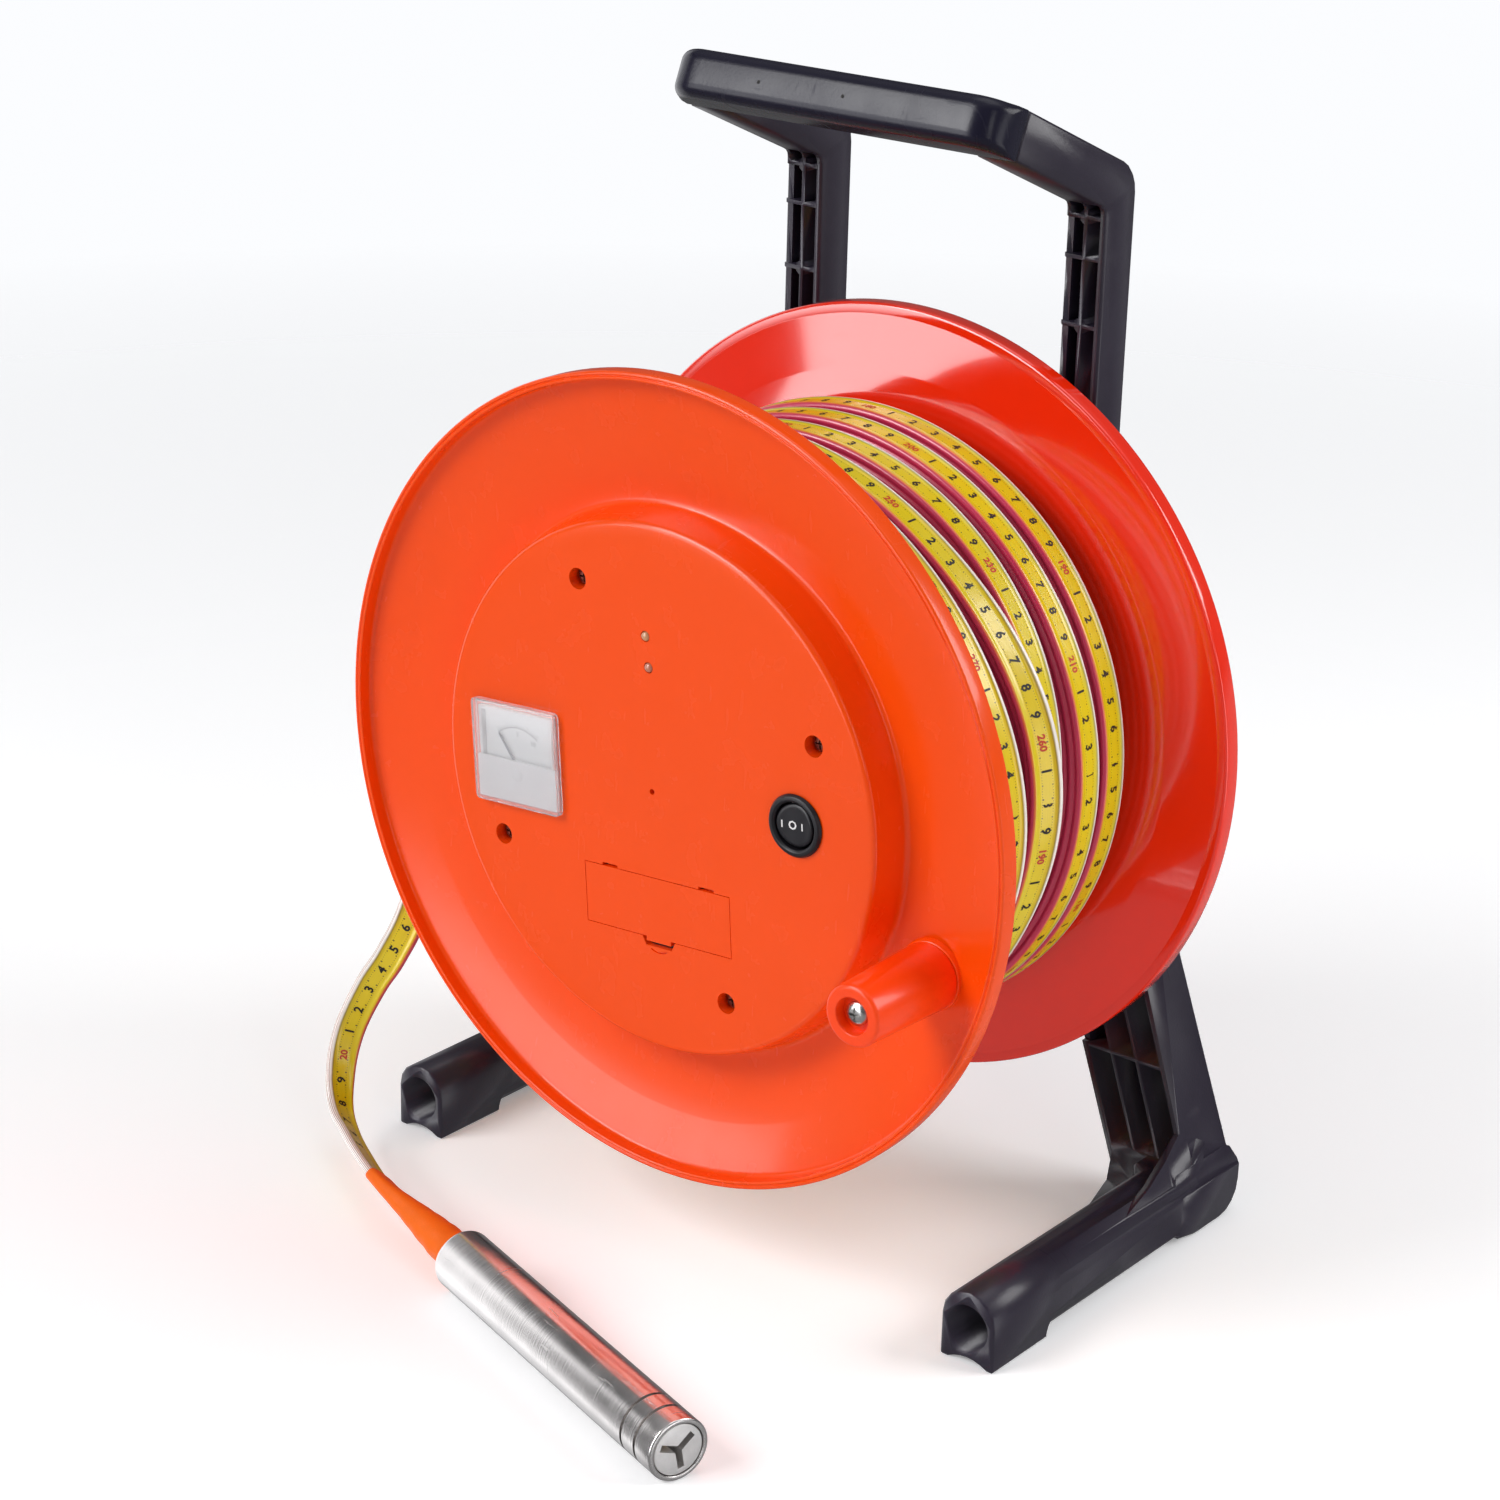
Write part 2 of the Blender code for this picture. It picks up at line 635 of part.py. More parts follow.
def hatch_outline():
    """The hatch's opening: the door, its finger notch below and the two notches over its hinge tabs."""
    x, y = DOOR_AT
    half_w = DOOR_SIZE[0] / 2 + GAP
    half_h = DOOR_SIZE[1] / 2 + GAP
    tab = HINGE_TAB_SIZE[0] / 2 + GAP
    rise = HINGE_TAB_SIZE[1]
    latch = LATCH_WIDTH / 2
    points = [(-half_w, -half_h), (-latch, -half_h), (-latch + LATCH_NOTCH / 2, -half_h - LATCH_NOTCH)]
    points += [(latch - LATCH_NOTCH / 2, -half_h - LATCH_NOTCH), (latch, -half_h), (half_w, -half_h)]
    points.append((half_w, half_h))
    for centre in sorted(HINGE_TABS, reverse=True):
        points += [(centre + tab, half_h), (centre + tab, half_h + rise)]
        points += [(centre - tab, half_h + rise), (centre - tab, half_h)]
    points.append((-half_w, half_h))
    return [(x + a, y + b) for a, b in points]


def battery_door(bench, reel, material):
    """The hatch's door, with two tabs under its top edge that it swings on, and a finger tongue."""
    half_w, height = DOOR_SIZE[0] / 2, DOOR_SIZE[1]
    tongue = LATCH_WIDTH / 2 - LATCH_NOTCH / 2 - GAP
    drop = LATCH_NOTCH * 0.55
    outline = [(-half_w, 0), (-half_w, -height), (-tongue, -height), (-tongue, -height - drop)]
    outline += [(tongue, -height - drop), (tongue, -height), (half_w, -height), (half_w, 0)]
    top = (DOOR_AT[0], DOOR_AT[1] + height / 2, BOSS_PROUD)
    door = bench.part("battery_door", plate(outline, -DOOR_THICKNESS, 0), material, reel, at=top)
    wide, rise, thick = HINGE_TAB_SIZE
    under = SKIN + GAP
    hook = [
        (DOOR_THICKNESS / 2, -GAP),
        (under, -GAP),
        (under, rise),
        (under + thick, rise),
        (under + thick, -TAB_ROOT),
        (DOOR_THICKNESS / 2, -TAB_ROOT),
    ]
    for centre in HINGE_TABS:
        at = (top[0] + centre, top[1], top[2])
        join(door, bench.guide(plate(hook, -wide / 2, wide / 2), reel, at=at, turn=(0, pi / 2, 0)))


def battery(bench, reel, materials):
    """The open tray behind the hatch and the block battery lying in it."""
    inner = [side + 2 * BOX_MARGIN for side in DOOR_SIZE]
    outer = [side + 2 * BOX_WALL for side in inner]
    front = COVER_INSIDE - GAP
    back = front - BOX_DEPTH
    tray = bench.part("battery_box", box(*outer, back, front, at=DOOR_AT), materials["switch"], reel)
    cut(tray, bench.guide(box(*inner, back + BOX_WALL, front + SKIN, at=DOOR_AT), reel))
    wide, tall, deep = BATTERY_SIZE
    low = back + BOX_WALL + GAP
    centre = (DOOR_AT[0], DOOR_AT[1] - inner[1] / 2 + GAP + tall / 2)
    cell = bench.part("battery", box(wide, tall, low, low + deep, at=centre), materials["battery"], reel)
    bevel(cell, BATTERY_EDGE)


def drum(bench, reel, material):
    """The drum: a tube with a front collar, a web, a hub for the front bush and four screw posts."""
    inside = CORE_RADIUS - CORE_WALL
    hub = HUB_BORE + HUB_WALL
    hub_front = -WEB_DEPTH + FRONT_HUB_LENGTH * 0.3
    hub_back = hub_front - FRONT_HUB_LENGTH
    section = [
        (CORE_RADIUS + CORE_COLLAR, CORE_FRONT),
        (CORE_RADIUS + CORE_COLLAR, CORE_FRONT - CORE_WALL),
        (CORE_RADIUS, CORE_FRONT - CORE_WALL),
        (CORE_RADIUS, CORE_REAR),
        (inside, CORE_REAR),
        (inside, -WEB_DEPTH - CORE_WALL),
        (hub, -WEB_DEPTH - CORE_WALL),
        (hub, hub_back),
        (HUB_BORE, hub_back),
        (HUB_BORE, hub_front),
        (hub, hub_front),
        (hub, -WEB_DEPTH),
        (inside, -WEB_DEPTH),
        (inside, CORE_FRONT),
    ]
    core = bench.part("drum_core", profile(section, closed=True), material, reel)
    spin(core, DRUM_SIDES)
    tab = POST_RADIUS / 3
    start = acos(sqrt(1 - (tab / POST_RADIUS) ** 2))
    steps = 10
    arc = [start + (2 * pi - 2 * start) * i / steps for i in range(steps + 1)]
    outline = [(POST_RADIUS * cos(a), POST_RADIUS * sin(a)) for a in arc]
    reach = CORE_RADIUS - CORE_WALL / 2 - SCREW_CIRCLE
    outline += [(reach, -tab), (reach, tab)]
    for angle in SCREW_ANGLES:
        at = (*polar(SCREW_CIRCLE, angle), 0)
        turn = (0, 0, radians(angle))
        join(core, bench.guide(plate(outline, CORE_REAR, POST_TOP), reel, at=at, turn=turn))
    holes = []
    for angle in SCREW_ANGLES:
        centre = polar(SCREW_CIRCLE, angle)
        bore = SCREW_RADIUS + GAP
        holes.append(rod(bore, POST_TOP - POST_BORE_DEPTH, POST_TOP + SKIN, SCREW_SIDES, at=centre))
        holes.append(rod(bore, CORE_REAR - SKIN, CORE_REAR + POST_BORE_DEPTH, SCREW_SIDES, at=centre))
    cut(core, bench.guide(gather(holes), reel))
    return hub_front, hub_back


def rear_flange(bench, reel, material):
    """The rear flange, dished like the front one, with the hub of the rear bush in its middle."""
    level = -REEL_WIDTH
    hub = HUB_BORE + HUB_WALL
    hub_back = level + DISH_DEPTH - REAR_HUB_TAIL
    hub_front = hub_back + REAR_HUB_LENGTH
    section = [(HUB_BORE, hub_front), (hub, hub_front), (hub, REAR_FACE)]
    section += dish_inside(level, 1)[::-1]
    section += dish_outside(level, 1)[::-1]
    section += [(hub, level + DISH_DEPTH), (hub, hub_back), (HUB_BORE, hub_back)]
    flange = bench.part("rear_flange", profile(section, closed=True), material, reel)
    spin(flange, FLANGE_SIDES)
    holes = []
    for angle in SCREW_ANGLES:
        at = polar(SCREW_CIRCLE, angle)
        holes.append(rod(SCREW_RADIUS + GAP, level, REAR_FACE + SKIN, SCREW_SIDES, at=at))
    cut(flange, bench.guide(gather(holes), reel))
    return hub_front, hub_back


def winding(bench, reel, material):
    """The wound tape: a ring whose outside shows the lanes that the turns lie in."""
    front = CORE_FRONT - CORE_WALL - GAP
    rear = REAR_FACE + 2 * GAP
    pitch = (front - rear) / LANES
    inner = CORE_RADIUS + GAP
    slack = (pitch - TAPE_WIDTH) / 2
    points = [(inner, front)]
    for lane in range(LANES):
        top = front - lane * pitch
        points.append((WINDING_RADIUS - LANE_GROOVE, top))
        points.append((WINDING_RADIUS, top - slack))
        points.append((WINDING_RADIUS, top - pitch + slack))
    points += [(WINDING_RADIUS - LANE_GROOVE, rear), (inner, rear)]
    spin(bench.part("wound_tape", profile(points, closed=True), material, reel), DRUM_SIDES)


def reel_screws(bench, reel, material):
    """Four screws through the instrument face and four through the rear flange, into the posts."""
    head = SCREW_SEAT + GAP + SCREW_HEAD_LENGTH
    rear = -REEL_WIDTH + DISH_DEPTH - GAP - SCREW_HEAD_LENGTH
    for number, angle in enumerate(SCREW_ANGLES, start=1):
        x, y = polar(SCREW_CIRCLE, angle)
        front = bench.part(f"cover_screw_{number}", screw_profile(), material, reel, at=(x, y, head))
        spin(front, SCREW_SIDES)
        at = (x, y, rear)
        back = bench.part(f"rear_screw_{number}", screw_profile(), material, reel, at=at, turn=(0, pi, 0))
        spin(back, SCREW_SIDES)


def panel_meter(bench, reel, materials):
    """The panel meter: a clear cover on the face, a case behind it, a dial and a needle on its pivot."""
    x, y = METER_AT
    seat = BOSS_PROUD + GAP
    top = seat + METER_PROUD
    cover = plate(rectangle(*METER_SIZE, METER_CORNER, METER_AT), seat, top)
    window = bench.part("meter_window", cover, materials["clear"], reel)
    inner = [side - 2 * METER_WALL for side in METER_SIZE]
    cut(window, bench.guide(box(*inner, seat - SKIN, top - METER_WALL, at=METER_AT), reel))
    body = [side - 2 * METER_BODY_INSET - 2 * GAP for side in METER_SIZE]
    rim = top - METER_WALL - GAP
    shell = box(*body, rim - METER_BODY_DEPTH, rim, at=METER_AT)
    case = bench.part("meter_case", shell, materials["switch"], reel)
    pocket = [side - 2 * METER_WALL for side in body]
    floor = rim - METER_TRAY
    cut(case, bench.guide(box(*pocket, floor, rim + SKIN, at=METER_AT), reel))
    dial_top = floor + GAP + DIAL_THICKNESS
    dial = [side - 2 * GAP for side in pocket]
    bench.part("meter_dial", box(*dial, floor + GAP, dial_top, at=METER_AT), materials["white"], reel)
    pivot = (x + NEEDLE_PIVOT[0], y + NEEDLE_PIVOT[1], dial_top + GAP)
    rest = (0, 0, NEEDLE_REST)
    root, point = NEEDLE_WIDTH / 2, NEEDLE_WIDTH / 4
    outline = [(-root, -NEEDLE_TAIL), (root, -NEEDLE_TAIL), (point, NEEDLE_LENGTH), (-point, NEEDLE_LENGTH)]
    blade = plate(outline, NEEDLE_LIFT, NEEDLE_LIFT + NEEDLE_THICKNESS)
    needle = bench.part("meter_needle", blade, materials["switch"], reel, at=pivot, turn=rest)
    hub = rod(NEEDLE_HUB_RADIUS, 0, 2 * NEEDLE_THICKNESS, SCREW_SIDES)
    join(needle, bench.guide(hub, reel, at=pivot, turn=rest))


def rocker_switch(bench, reel, material):
    """The round switch: a bezel with its barrel, and the rocker that tips about an upright axis."""
    edge = BEZEL_EDGE
    cavity = (ROCKER_RADIUS + ROCKER_RIM) / cos(pi / SHAFT_SIDES)
    bottom = -SWITCH_BARREL_DEPTH
    section = [
        (0, bottom + CUP_WALL),
        (cavity, bottom + CUP_WALL),
        (cavity, BEZEL_PROUD - edge),
        (cavity + edge, BEZEL_PROUD),
        (BEZEL_RADIUS - edge, BEZEL_PROUD),
        (BEZEL_RADIUS, BEZEL_PROUD - edge),
        (BEZEL_RADIUS, GAP),
        (SWITCH_BARREL_RADIUS, GAP),
        (SWITCH_BARREL_RADIUS, bottom),
        (0, bottom),
    ]
    at = (*SWITCH_AT, BOSS_PROUD)
    spin(bench.part("switch_body", profile(section), material, reel, at=at), SHAFT_SIDES)
    rim = ROCKER_EDGE
    section = [
        (0, ROCKER_CROWN),
        (ROCKER_RADIUS * 0.6, ROCKER_CROWN * 0.8),
        (ROCKER_RADIUS, rim),
        (ROCKER_RADIUS, -rim),
        (ROCKER_RADIUS - rim, -ROCKER_DEPTH),
        (0, -ROCKER_DEPTH),
    ]
    spin(bench.part("switch_rocker", profile(section), material, reel, at=at), SHAFT_SIDES)


def electronics(bench, reel, materials):
    """The circuit board on its standoffs, with the two lamps and the buzzer standing on it."""
    top = -BOARD_DROP
    slab = box(*BOARD_SIZE, top - BOARD_THICKNESS, top, at=BOARD_AT)
    bench.part("circuit_board", slab, materials["board"], reel)
    for name, (x, y) in LAMPS.items():
        high = BOSS_PROUD + LAMP_PROUD
        section = [(0, high), (LAMP_RADIUS * 0.7, high - LAMP_RADIUS * 0.25)]
        section += [(LAMP_RADIUS, high - LAMP_RADIUS * 0.8)]
        section += [(LAMP_RADIUS, top + GAP), (0, top + GAP)]
        spin(bench.part(name, profile(section), materials["lens"], reel, at=(x, y, 0)), SCREW_SIDES)
    bench.part("buzzer", rod(BUZZER_RADIUS, top + GAP, COVER_INSIDE - BUZZER_DROP), materials["switch"], reel)


def crank(bench, reel, materials):
    """The crank knob, free to turn on a shoulder bolt through the flange, and the bolt's nut."""
    x, y = polar(KNOB_CIRCLE, KNOB_ANGLE)
    root = -KNOB_PAD_LEVEL + GAP
    edge = KNOB_EDGE
    bore = BOLT_RADIUS / cos(pi / SHAFT_SIDES) + RUNNING
    seat = KNOB_REACH - KNOB_COUNTERBORE_DEPTH
    section = [
        (KNOB_COUNTERBORE, KNOB_REACH),
        (KNOB_RADIUS - edge, KNOB_REACH),
        (KNOB_RADIUS - edge * 0.3, KNOB_REACH - edge * 0.3),
        (KNOB_RADIUS, KNOB_REACH - edge),
        (KNOB_RADIUS + KNOB_DRAFT, root),
        (bore, root),
        (bore, seat),
        (KNOB_COUNTERBORE, seat),
    ]
    knob = bench.part("crank_knob", profile(section, closed=True), materials["orange"], reel, at=(x, y, 0))
    spin(knob, SHAFT_SIDES)
    head = seat + GAP
    tail = -REAR_PAD_LEVEL - GAP - BOLT_NUT_LENGTH
    section = [
        (0, head + BOLT_HEAD_LENGTH),
        (BOLT_HEAD_RADIUS * 0.75, head + BOLT_HEAD_LENGTH * 0.85),
        (BOLT_HEAD_RADIUS, head + BOLT_HEAD_LENGTH * 0.35),
        (BOLT_HEAD_RADIUS, head),
        (BOLT_RADIUS, head),
        (BOLT_RADIUS, tail),
        (0, tail),
    ]
    spin(bench.part("crank_bolt", profile(section), materials["steel"], reel, at=(x, y, 0)), SHAFT_SIDES)
    nut = rod(BOLT_NUT_RADIUS, tail, tail + BOLT_NUT_LENGTH, 6)
    nut = bench.part("crank_nut", nut, materials["steel"], reel, at=(x, y, 0))
    cut(nut, bench.guide(rod(BOLT_RADIUS + GAP, tail - SKIN, tail + 2 * BOLT_NUT_LENGTH), reel, at=(x, y, 0)))


def bush(bench, name, reel, material, collar_end, far_end):
    """A flanged bush in a hub, its collar outside the hub's end."""
    side = 1 if collar_end > far_end else -1
    inner = collar_end + side * GAP
    outer = inner + side * BUSH_COLLAR_LENGTH
    wide = BUSH_OUTER + BUSH_COLLAR
    section = [(BUSH_BORE, outer), (wide, outer), (wide, inner), (BUSH_OUTER, inner)]
    section += [(BUSH_OUTER, far_end), (BUSH_BORE, far_end)]
    if side < 0:
        section.reverse()
    spin(bench.part(name, profile(section, closed=True), material, reel), SHAFT_SIDES)
    return outer


def axle(bench, stand, material, front_collar, rear_collar):
    """The fixed axle with its shoulder, the clip before the front bush, and the washer and nut behind."""
    groove = AXLE_RADIUS - CLIP_GROOVE
    edge = AXLE_EDGE
    clip_low = front_collar + GAP
    clip_high = clip_low + CLIP_WIDTH
    nose = clip_high + GAP + AXLE_NOSE - CLIP_WIDTH
    shoulder = rear_collar - GAP
    section = [
        (0, nose),
        (AXLE_RADIUS - edge, nose),
        (AXLE_RADIUS, nose - edge),
        (AXLE_RADIUS, clip_high + GAP),
        (groove, clip_high + GAP),
        (groove, front_collar),
        (AXLE_RADIUS, front_collar),
        (AXLE_RADIUS, shoulder),
        (SHOULDER_RADIUS, shoulder),
        (SHOULDER_RADIUS, -HUB_BOSS_FRONT + GAP),
        (AXLE_RADIUS, -HUB_BOSS_FRONT + GAP),
        (AXLE_RADIUS, -AXLE_REAR + edge),
        (AXLE_RADIUS - edge, -AXLE_REAR),
        (0, -AXLE_REAR),
    ]
    spin(bench.part("axle", profile(section), material, stand), SHAFT_SIDES)
    clip = ring(groove + GAP, CLIP_RADIUS, clip_low, clip_high)
    spin(bench.part("axle_clip", clip, material, stand), SHAFT_SIDES)
    washer_front = -CROSSBAR_BACK - GAP
    washer = ring(AXLE_RADIUS + GAP, WASHER_RADIUS, washer_front - WASHER_LENGTH, washer_front)
    spin(bench.part("axle_washer", washer, material, stand), SHAFT_SIDES)
    nut_front = washer_front - WASHER_LENGTH - GAP
    nut = bench.part("axle_nut", rod(NUT_RADIUS, nut_front - NUT_LENGTH, nut_front, 6), material, stand)
    bevel(nut, AXLE_EDGE, 1, 80)
    cut(nut, bench.guide(rod(AXLE_RADIUS + GAP, nut_front - 2 * NUT_LENGTH, nut_front + NUT_LENGTH), stand))


def leg_section(level, inset=0.0):
    """The leg's inner and outer x and its front and back depth at a level."""
    outer = STRUT_OUTER + max(0.0, OUTER_KNEE - level) * OUTER_SPLAY
    inner = STRUT_OUTER - STRUT_WIDTH + max(0.0, INNER_KNEE - level) * INNER_SPLAY
    front = STAND_FRONT - max(0.0, OUTER_KNEE - level) * FRONT_LEAN
    outer = min(outer, FOOT_OUTER - GAP)
    return inner + inset, outer - inset, front + inset, STAND_BACK - inset


def leg_ring(level, side, inset=0.0):
    """The four corners of the leg at a level."""
    inner, outer, front, back = leg_section(level, inset)
    corners = [(inner, front), (outer, front), (outer, back), (inner, back)]
    return [(side * x, level, -depth) for x, depth in corners]


def rib_cell(high, low, column, columns, side):
    """One pocket of the leg between two cross ribs and two upright ribs, open to the front."""
    knees = [k for k in (OUTER_KNEE, INNER_KNEE) if low < k < high]
    rings = []
    for level in [high - RIB / 2, *knees, low + RIB / 2]:
        inner, outer, front, back = leg_section(level)
        inner += STRUT_WALL
        outer -= STRUT_WALL
        cell = (outer - inner - RIB * (columns - 1)) / columns
        left = inner + column * (cell + RIB)
        corners = [(left, front - SKIN), (left + cell, front - SKIN)]
        corners += [(left + cell, back - STRUT_WALL), (left, back - STRUT_WALL)]
        rings.append([(side * x, level, -depth) for x, depth in corners])
    return loft(rings)


def wall_step(high, low, side):
    """The space in front of one wall of the leg, which stands back from the ribs' front edges."""
    rings = []
    for level in [high - RIB / 2, *[k for k in (OUTER_KNEE, INNER_KNEE) if low < k < high], low + RIB / 2]:
        inner, outer, front, _ = leg_section(level)
        ends = (inner - SKIN, inner + STRUT_WALL + GAP)
        if side < 0:
            ends = (outer - STRUT_WALL - GAP, outer + SKIN)
        near, far = ends
        ahead, behind = front - SKIN, front + WALL_STEP
        corners = [(near, ahead), (far, ahead), (far, behind), (near, behind)]
        rings.append([(side * x, level, -depth) for x, depth in corners])
    return loft(rings)


def arm_outline():
    """The upright and the arm that reaches up and forward from its top, as (depth, height)."""
    ahead = Vector((-cos(ARM_TILT), sin(ARM_TILT)))
    up = Vector((sin(ARM_TILT), cos(ARM_TILT)))
    low = Vector(ARM_NOSE) - ahead * (GRIP_DEPTH + GAP)
    high = low + up * ARM_HEIGHT
    run = (STAND_BACK - high.x) / cos(ARM_TILT)
    corner = high - ahead * run
    return rounded(
        [
            (STAND_FRONT, OUTER_KNEE, 0),
            (STAND_BACK, OUTER_KNEE, 0),
            (corner.x, corner.y, ARM_CORNER),
            (high.x, high.y, 0),
            (low.x, low.y, 0),
            (STAND_FRONT, ARM_FOOT, ARM_CORNER / 3),
        ]
    )


def foot_block(bench, stand, side):
    """The front of the foot: a round-topped block with a hollow underside and a scooped back."""
    half = FOOT_WIDTH / 2
    shoulder = FLOOR + FOOT_HEIGHT - half
    steps = 8
    top = [(half * cos(pi * i / steps), shoulder + half * sin(pi * i / steps)) for i in range(steps + 1)]
    inner = half - SHOE_PRONG
    arch = [(-inner + 2 * inner * i / 6, FLOOR + SHOE_ARCH * (1 - (2 * i / 6 - 1) ** 2)) for i in range(7)]
    outline = top + [(-half, FLOOR)] + arch + [(half, FLOOR)]
    shoe = plate(outline, -FOOT_FRONT - SHOE_LENGTH, -FOOT_FRONT)
    block = bench.guide(shoe, stand, at=(side * FOOT_X, 0, 0))
    bevel(block, SHOE_EDGE, 1, 60)
    scoop_at = (side * FOOT_X, FLOOR, -FOOT_FRONT - SHOE_LENGTH)
    scoop = rod(SHOE_SCOOP, -FOOT_WIDTH, FOOT_WIDTH)
    cut(block, bench.guide(scoop, stand, at=scoop_at, turn=(0, pi / 2, 0)))
    return block


def foot_tube(bench, stand, side):
    """The round-topped bar of the foot, from the block back to the heel."""
    half = FOOT_WIDTH / 2 - GAP
    top = FLOOR + FOOT_HEIGHT - GAP
    corners = [(-half, FLOOR + FOOT_LIFT, half * 0.6), (half, FLOOR + FOOT_LIFT, half * 0.6)]
    corners += [(half, top, half * 0.95), (-half, top, half * 0.95)]
    outline = rounded(corners)
    rear = -HEEL_FRONT - HEEL_ROUND
    front = -FOOT_FRONT - SHOE_LENGTH + SHOE_SCOOP + SKIN
    return bench.guide(plate(outline, rear, front), stand, at=(side * FOOT_X, 0, 0))


def heel(bench, stand, side):
    """The heel under the leg, rounded behind, flat where it stands on the floor."""
    top = FLOOR + FOOT_HEIGHT - 2 * GAP
    outline = rounded(
        [
            (HEEL_FRONT, FLOOR + 2 * FOOT_LIFT, 0),
            (HEEL_FRONT + HEEL_ROUND, FLOOR, 0),
            (HEEL_BACK, FLOOR, HEEL_ROUND),
            (HEEL_BACK, top - HEEL_SLOPE, 0),
            (STAND_BACK + GAP, top, 0),
            (HEEL_FRONT, top, 0),
        ]
    )
    half = FOOT_WIDTH / 2
    shape = bench.guide(plate(outline, -half, half), stand, at=(side * FOOT_X, 0, 0), turn=(0, pi / 2, 0))
    bevel(shape, HEEL_EDGE, 1, 60)
    rings = []
    for level in (top + HEEL_SLOPE, top - HEEL_SLOPE):
        near = STRUT_OUTER + (OUTER_KNEE - level) * OUTER_SPLAY
        ahead, behind = HEEL_FRONT - SKIN, HEEL_BACK + STAND_DEPTH
        corners = [(near, ahead), (2 * near, ahead), (2 * near, behind), (near, behind)]
        rings.append([(side * x, level, -depth) for x, depth in corners])
    cut(shape, bench.guide(loft(rings), stand))
    return shape


def web(bench, stand, stations, side):
    """A web between the leg and the foot, lofted through its stations."""
    rings = []
    for depth, *corners in stations:
        back = -(STAND_FRONT + depth * MM)
        rings.append([(side * (FOOT_OUTER + x * MM), FLOOR + y * MM, back) for x, y in corners])
    return bench.guide(loft(rings), stand)


def side_frame(bench, name, stand, material, side):
    """One side of the stand: arm, upright, splayed leg and foot in one moulding, ribbed in front."""
    near = side * (STRUT_OUTER - STRUT_WIDTH / 2)
    upright = plate(arm_outline(), -STRUT_WIDTH / 2, STRUT_WIDTH / 2)
    frame = bench.part(name, upright, material, stand, at=(near, 0, 0), turn=(0, pi / 2, 0))
    bevel(frame, ARM_EDGE, 1)
    rings = [leg_ring(OUTER_KNEE + 2 * STRUT_WALL, side, GAP / 2)]
    rings += [leg_ring(INNER_KNEE, side), leg_ring(LEG_FLOOR, side)]
    join(frame, bench.guide(loft(rings), stand))
    join(frame, foot_block(bench, stand, side))
    join(frame, foot_tube(bench, stand, side))
    join(frame, heel(bench, stand, side))
    join(frame, web(bench, stand, INNER_WEB, side))
    join(frame, web(bench, stand, OUTER_WEB, side))

    cells = []
    for high, low in zip(CROSS_RIBS, CROSS_RIBS[1:]):
        columns = 3 if low < INNER_KNEE - STRUT_WIDTH else 2
        cells += [rib_cell(high, low, column, columns, side) for column in range(columns)]
    cut(frame, bench.guide(gather(cells), stand))
    steps = [wall_step(high, low, side) for high, low in zip(CROSS_RIBS[1:], CROSS_RIBS[2:-1])]
    cut(frame, bench.guide(gather(steps), stand))

    spigots = []
    bores = []
    sizes = [(y, SPIGOT_RADIUS) for y in SPIGOTS] + [(y, HUB_SPIGOT_RADIUS) for y in HUB_SCREW_LEVELS]
    for level, radius in sizes:
        inner, outer, front, back = leg_section(level)
        at = (side * (inner + outer) / 2, level)
        spigots.append(rod(radius, -back + STRUT_WALL / 2, -front - GAP, SCREW_SIDES, at=at))
    for level in HUB_SCREW_LEVELS:
        at = hub_screw_at(level, side)
        end = -STAND_BACK + POST_BORE_DEPTH - SKIN
        bores.append(rod(SCREW_RADIUS + GAP, -STAND_BACK - SKIN, end, SCREW_SIDES, at=at))
    join(frame, bench.guide(gather(spigots), stand))
    bores.append(
        rod(
            FOOT_BORE_RADIUS,
            -FOOT_FRONT - FOOT_BORE_LENGTH,
            -FOOT_FRONT + SKIN,
            at=(side * FOOT_X, FLOOR + FOOT_BORE_HEIGHT),
        )
    )
    cut(frame, bench.guide(gather(bores), stand))


def hub_screw_at(level, side):
    """Where a hub screw passes the side frame: the middle of the frame at that level."""
    inner, outer, _, _ = leg_section(level)
    return side * (inner + outer) / 2, level


def grip_bar(bench, stand, material):
    """The hand grip across the ends of the two arms, its front corners rounded."""
    corners = [
        (-GRIP_REACH, 0, GRIP_CORNER),
        (GRIP_REACH, 0, GRIP_CORNER),
        (GRIP_REACH, GRIP_DEPTH, 0),
        (-GRIP_REACH, GRIP_DEPTH, 0),
    ]
    turn = (-(pi / 2 + ARM_TILT), 0, 0)
    depth, height = ARM_NOSE
    bar = plate(rounded(corners), 0, ARM_HEIGHT)
    grip = bench.part("grip_bar", bar, material, stand, at=(0, height, -depth), turn=turn)
    bevel(grip, GRIP_ROUND, 2, 60)


